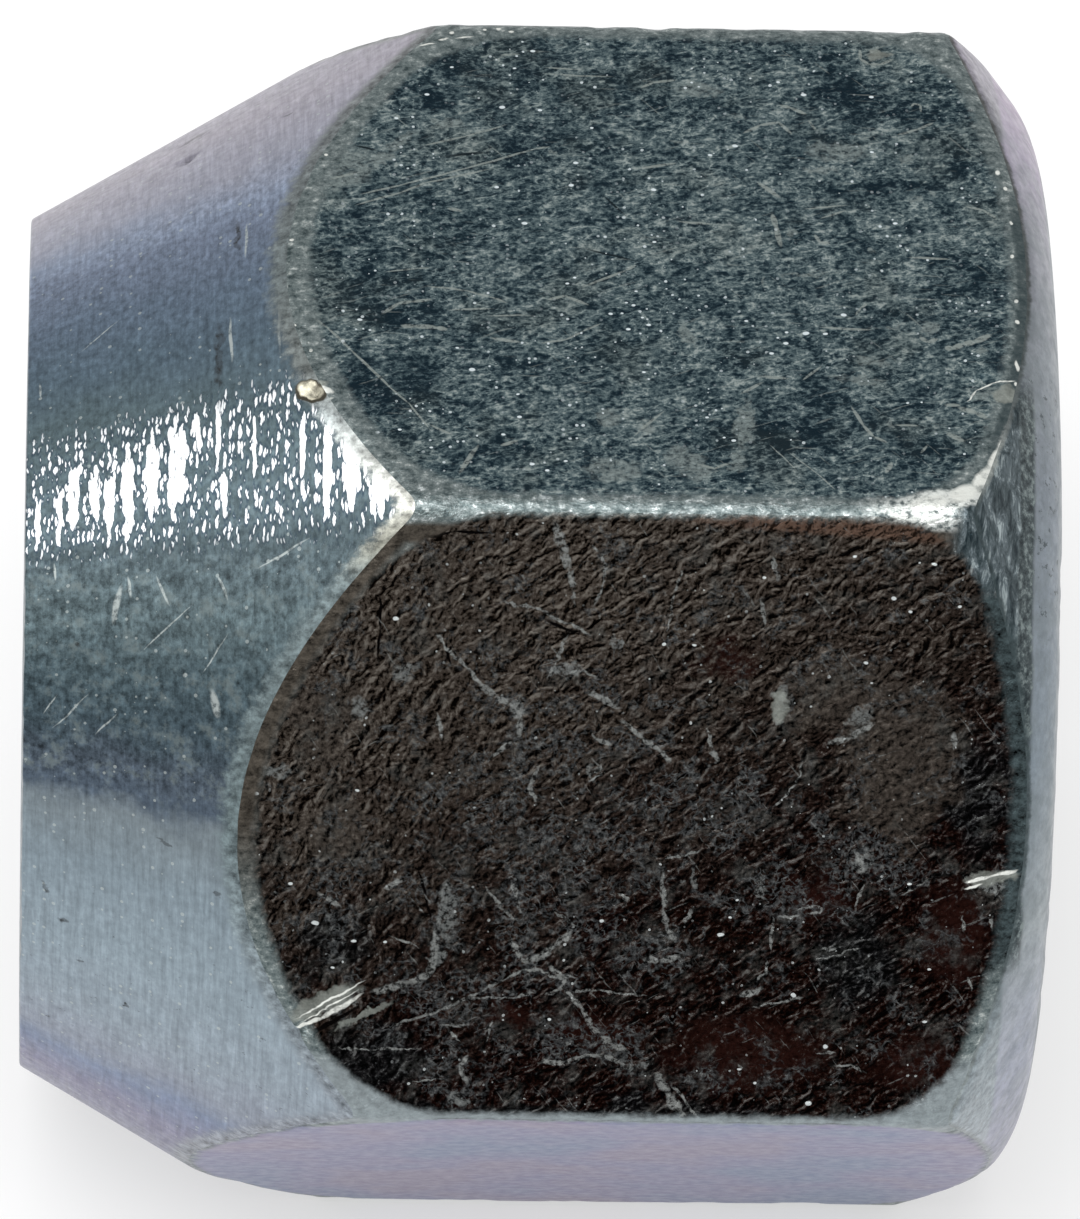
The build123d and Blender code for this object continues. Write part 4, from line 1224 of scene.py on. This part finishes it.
def aim(thing, azimuth, elevation, distance, target=(0, 0, 0), roll=0.0):
    """Puts a thing on a sphere round the target, in degrees and metres, facing it."""
    a, e = math.radians(azimuth), math.radians(elevation)
    back = Vector((math.sin(a) * math.cos(e), -math.cos(a) * math.cos(e), math.sin(e)))
    facing = (-back).to_track_quat("-Z", "Y").to_matrix().to_4x4()
    rolled = facing @ Matrix.Rotation(math.radians(roll), 4, "Z")
    thing.matrix_world = Matrix.Translation(Vector(target) + back * distance) @ rolled


def make_camera():
    """The camera that was fitted to the photo."""
    azimuth, elevation, roll = -3.625, 49.742, 3.584
    distance, target, lens = 192.757, (0.276, 0.449, 0.554), 324.8    # all in millimetres
    data = bpy.data.cameras.new("camera")
    data.lens = lens
    data.clip_start, data.clip_end = 0.01, 20
    camera = put("camera", data)
    aim(camera, azimuth, elevation, distance * MM, [x * MM for x in target], roll)
    bpy.context.scene.camera = camera


def make_lamp(name, azimuth, elevation, distance, size, power):
    """A round lamp that faces the nut, in metres and watts."""
    data = bpy.data.lights.new(name, "AREA")
    data.shape, data.size, data.energy = "DISK", size, power
    aim(put(name, data), azimuth, elevation, distance)


def make_world(strength):
    world = bpy.data.worlds.new("studio")
    world.use_nodes = True
    inputs = world.node_tree.nodes["Background"].inputs
    inputs["Color"].default_value = (1, 1, 1, 1)
    inputs["Strength"].default_value = strength
    bpy.context.scene.world = world


def make_floor():
    """A wide floor at the height of the nut's lowest point."""
    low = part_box("lug_nut")[0]
    mesh = bpy.data.meshes.new("floor")
    reach = 1.5
    corners = [(-reach, -reach), (reach, -reach), (reach, reach), (-reach, reach)]
    mesh.from_pydata([(x, y, low[2]) for x, y in corners], [], [(0, 1, 2, 3)])
    mesh.materials.append(floor_material())
    floor = put("floor", mesh)


make_camera()
make_world(0.8)
make_floor()
make_lamp("key", -20, 70, 0.35, 0.2, 0.6)
make_lamp("left", -92, 35, 0.35, 0.12, 0.12)
nut = put("lug_nut_plated", build_nut())
for material in (bore_material(), end_material(), seat_material(), crown_material(),
                 flat_material("zinc_plate_sliver", sliver_reflection_field, (0.12, 0.1, 0.1), 0.012,
                               (0.3, 0.31, 0.36)),
                 flat_material("zinc_plate_plain", plain_field, (0.25, 0.25, 0.25), 0.012),
                 *windowed("zinc_plate_upper", 0.0, upper_flat, (0.3, 0.4, 0.32), 0.015, None, None,
                           UPPER_NICKS_AND_RIM_HIGHLIGHTS, UPPER_BURRS),
                 *windowed("zinc_plate_lower", SIDE, lower_flat, (0.1, 0.3, 0.3), 0.05,
                           (0.066, 0.058, 0.048), (0.042, 0.058, 0.062), LOWER_NICKS, LOWER_BURRS)):
    nut.data.materials.append(material)
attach(nut, "root")
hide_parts("lug_nut")
bpy.context.scene.view_settings.view_transform = "Standard"
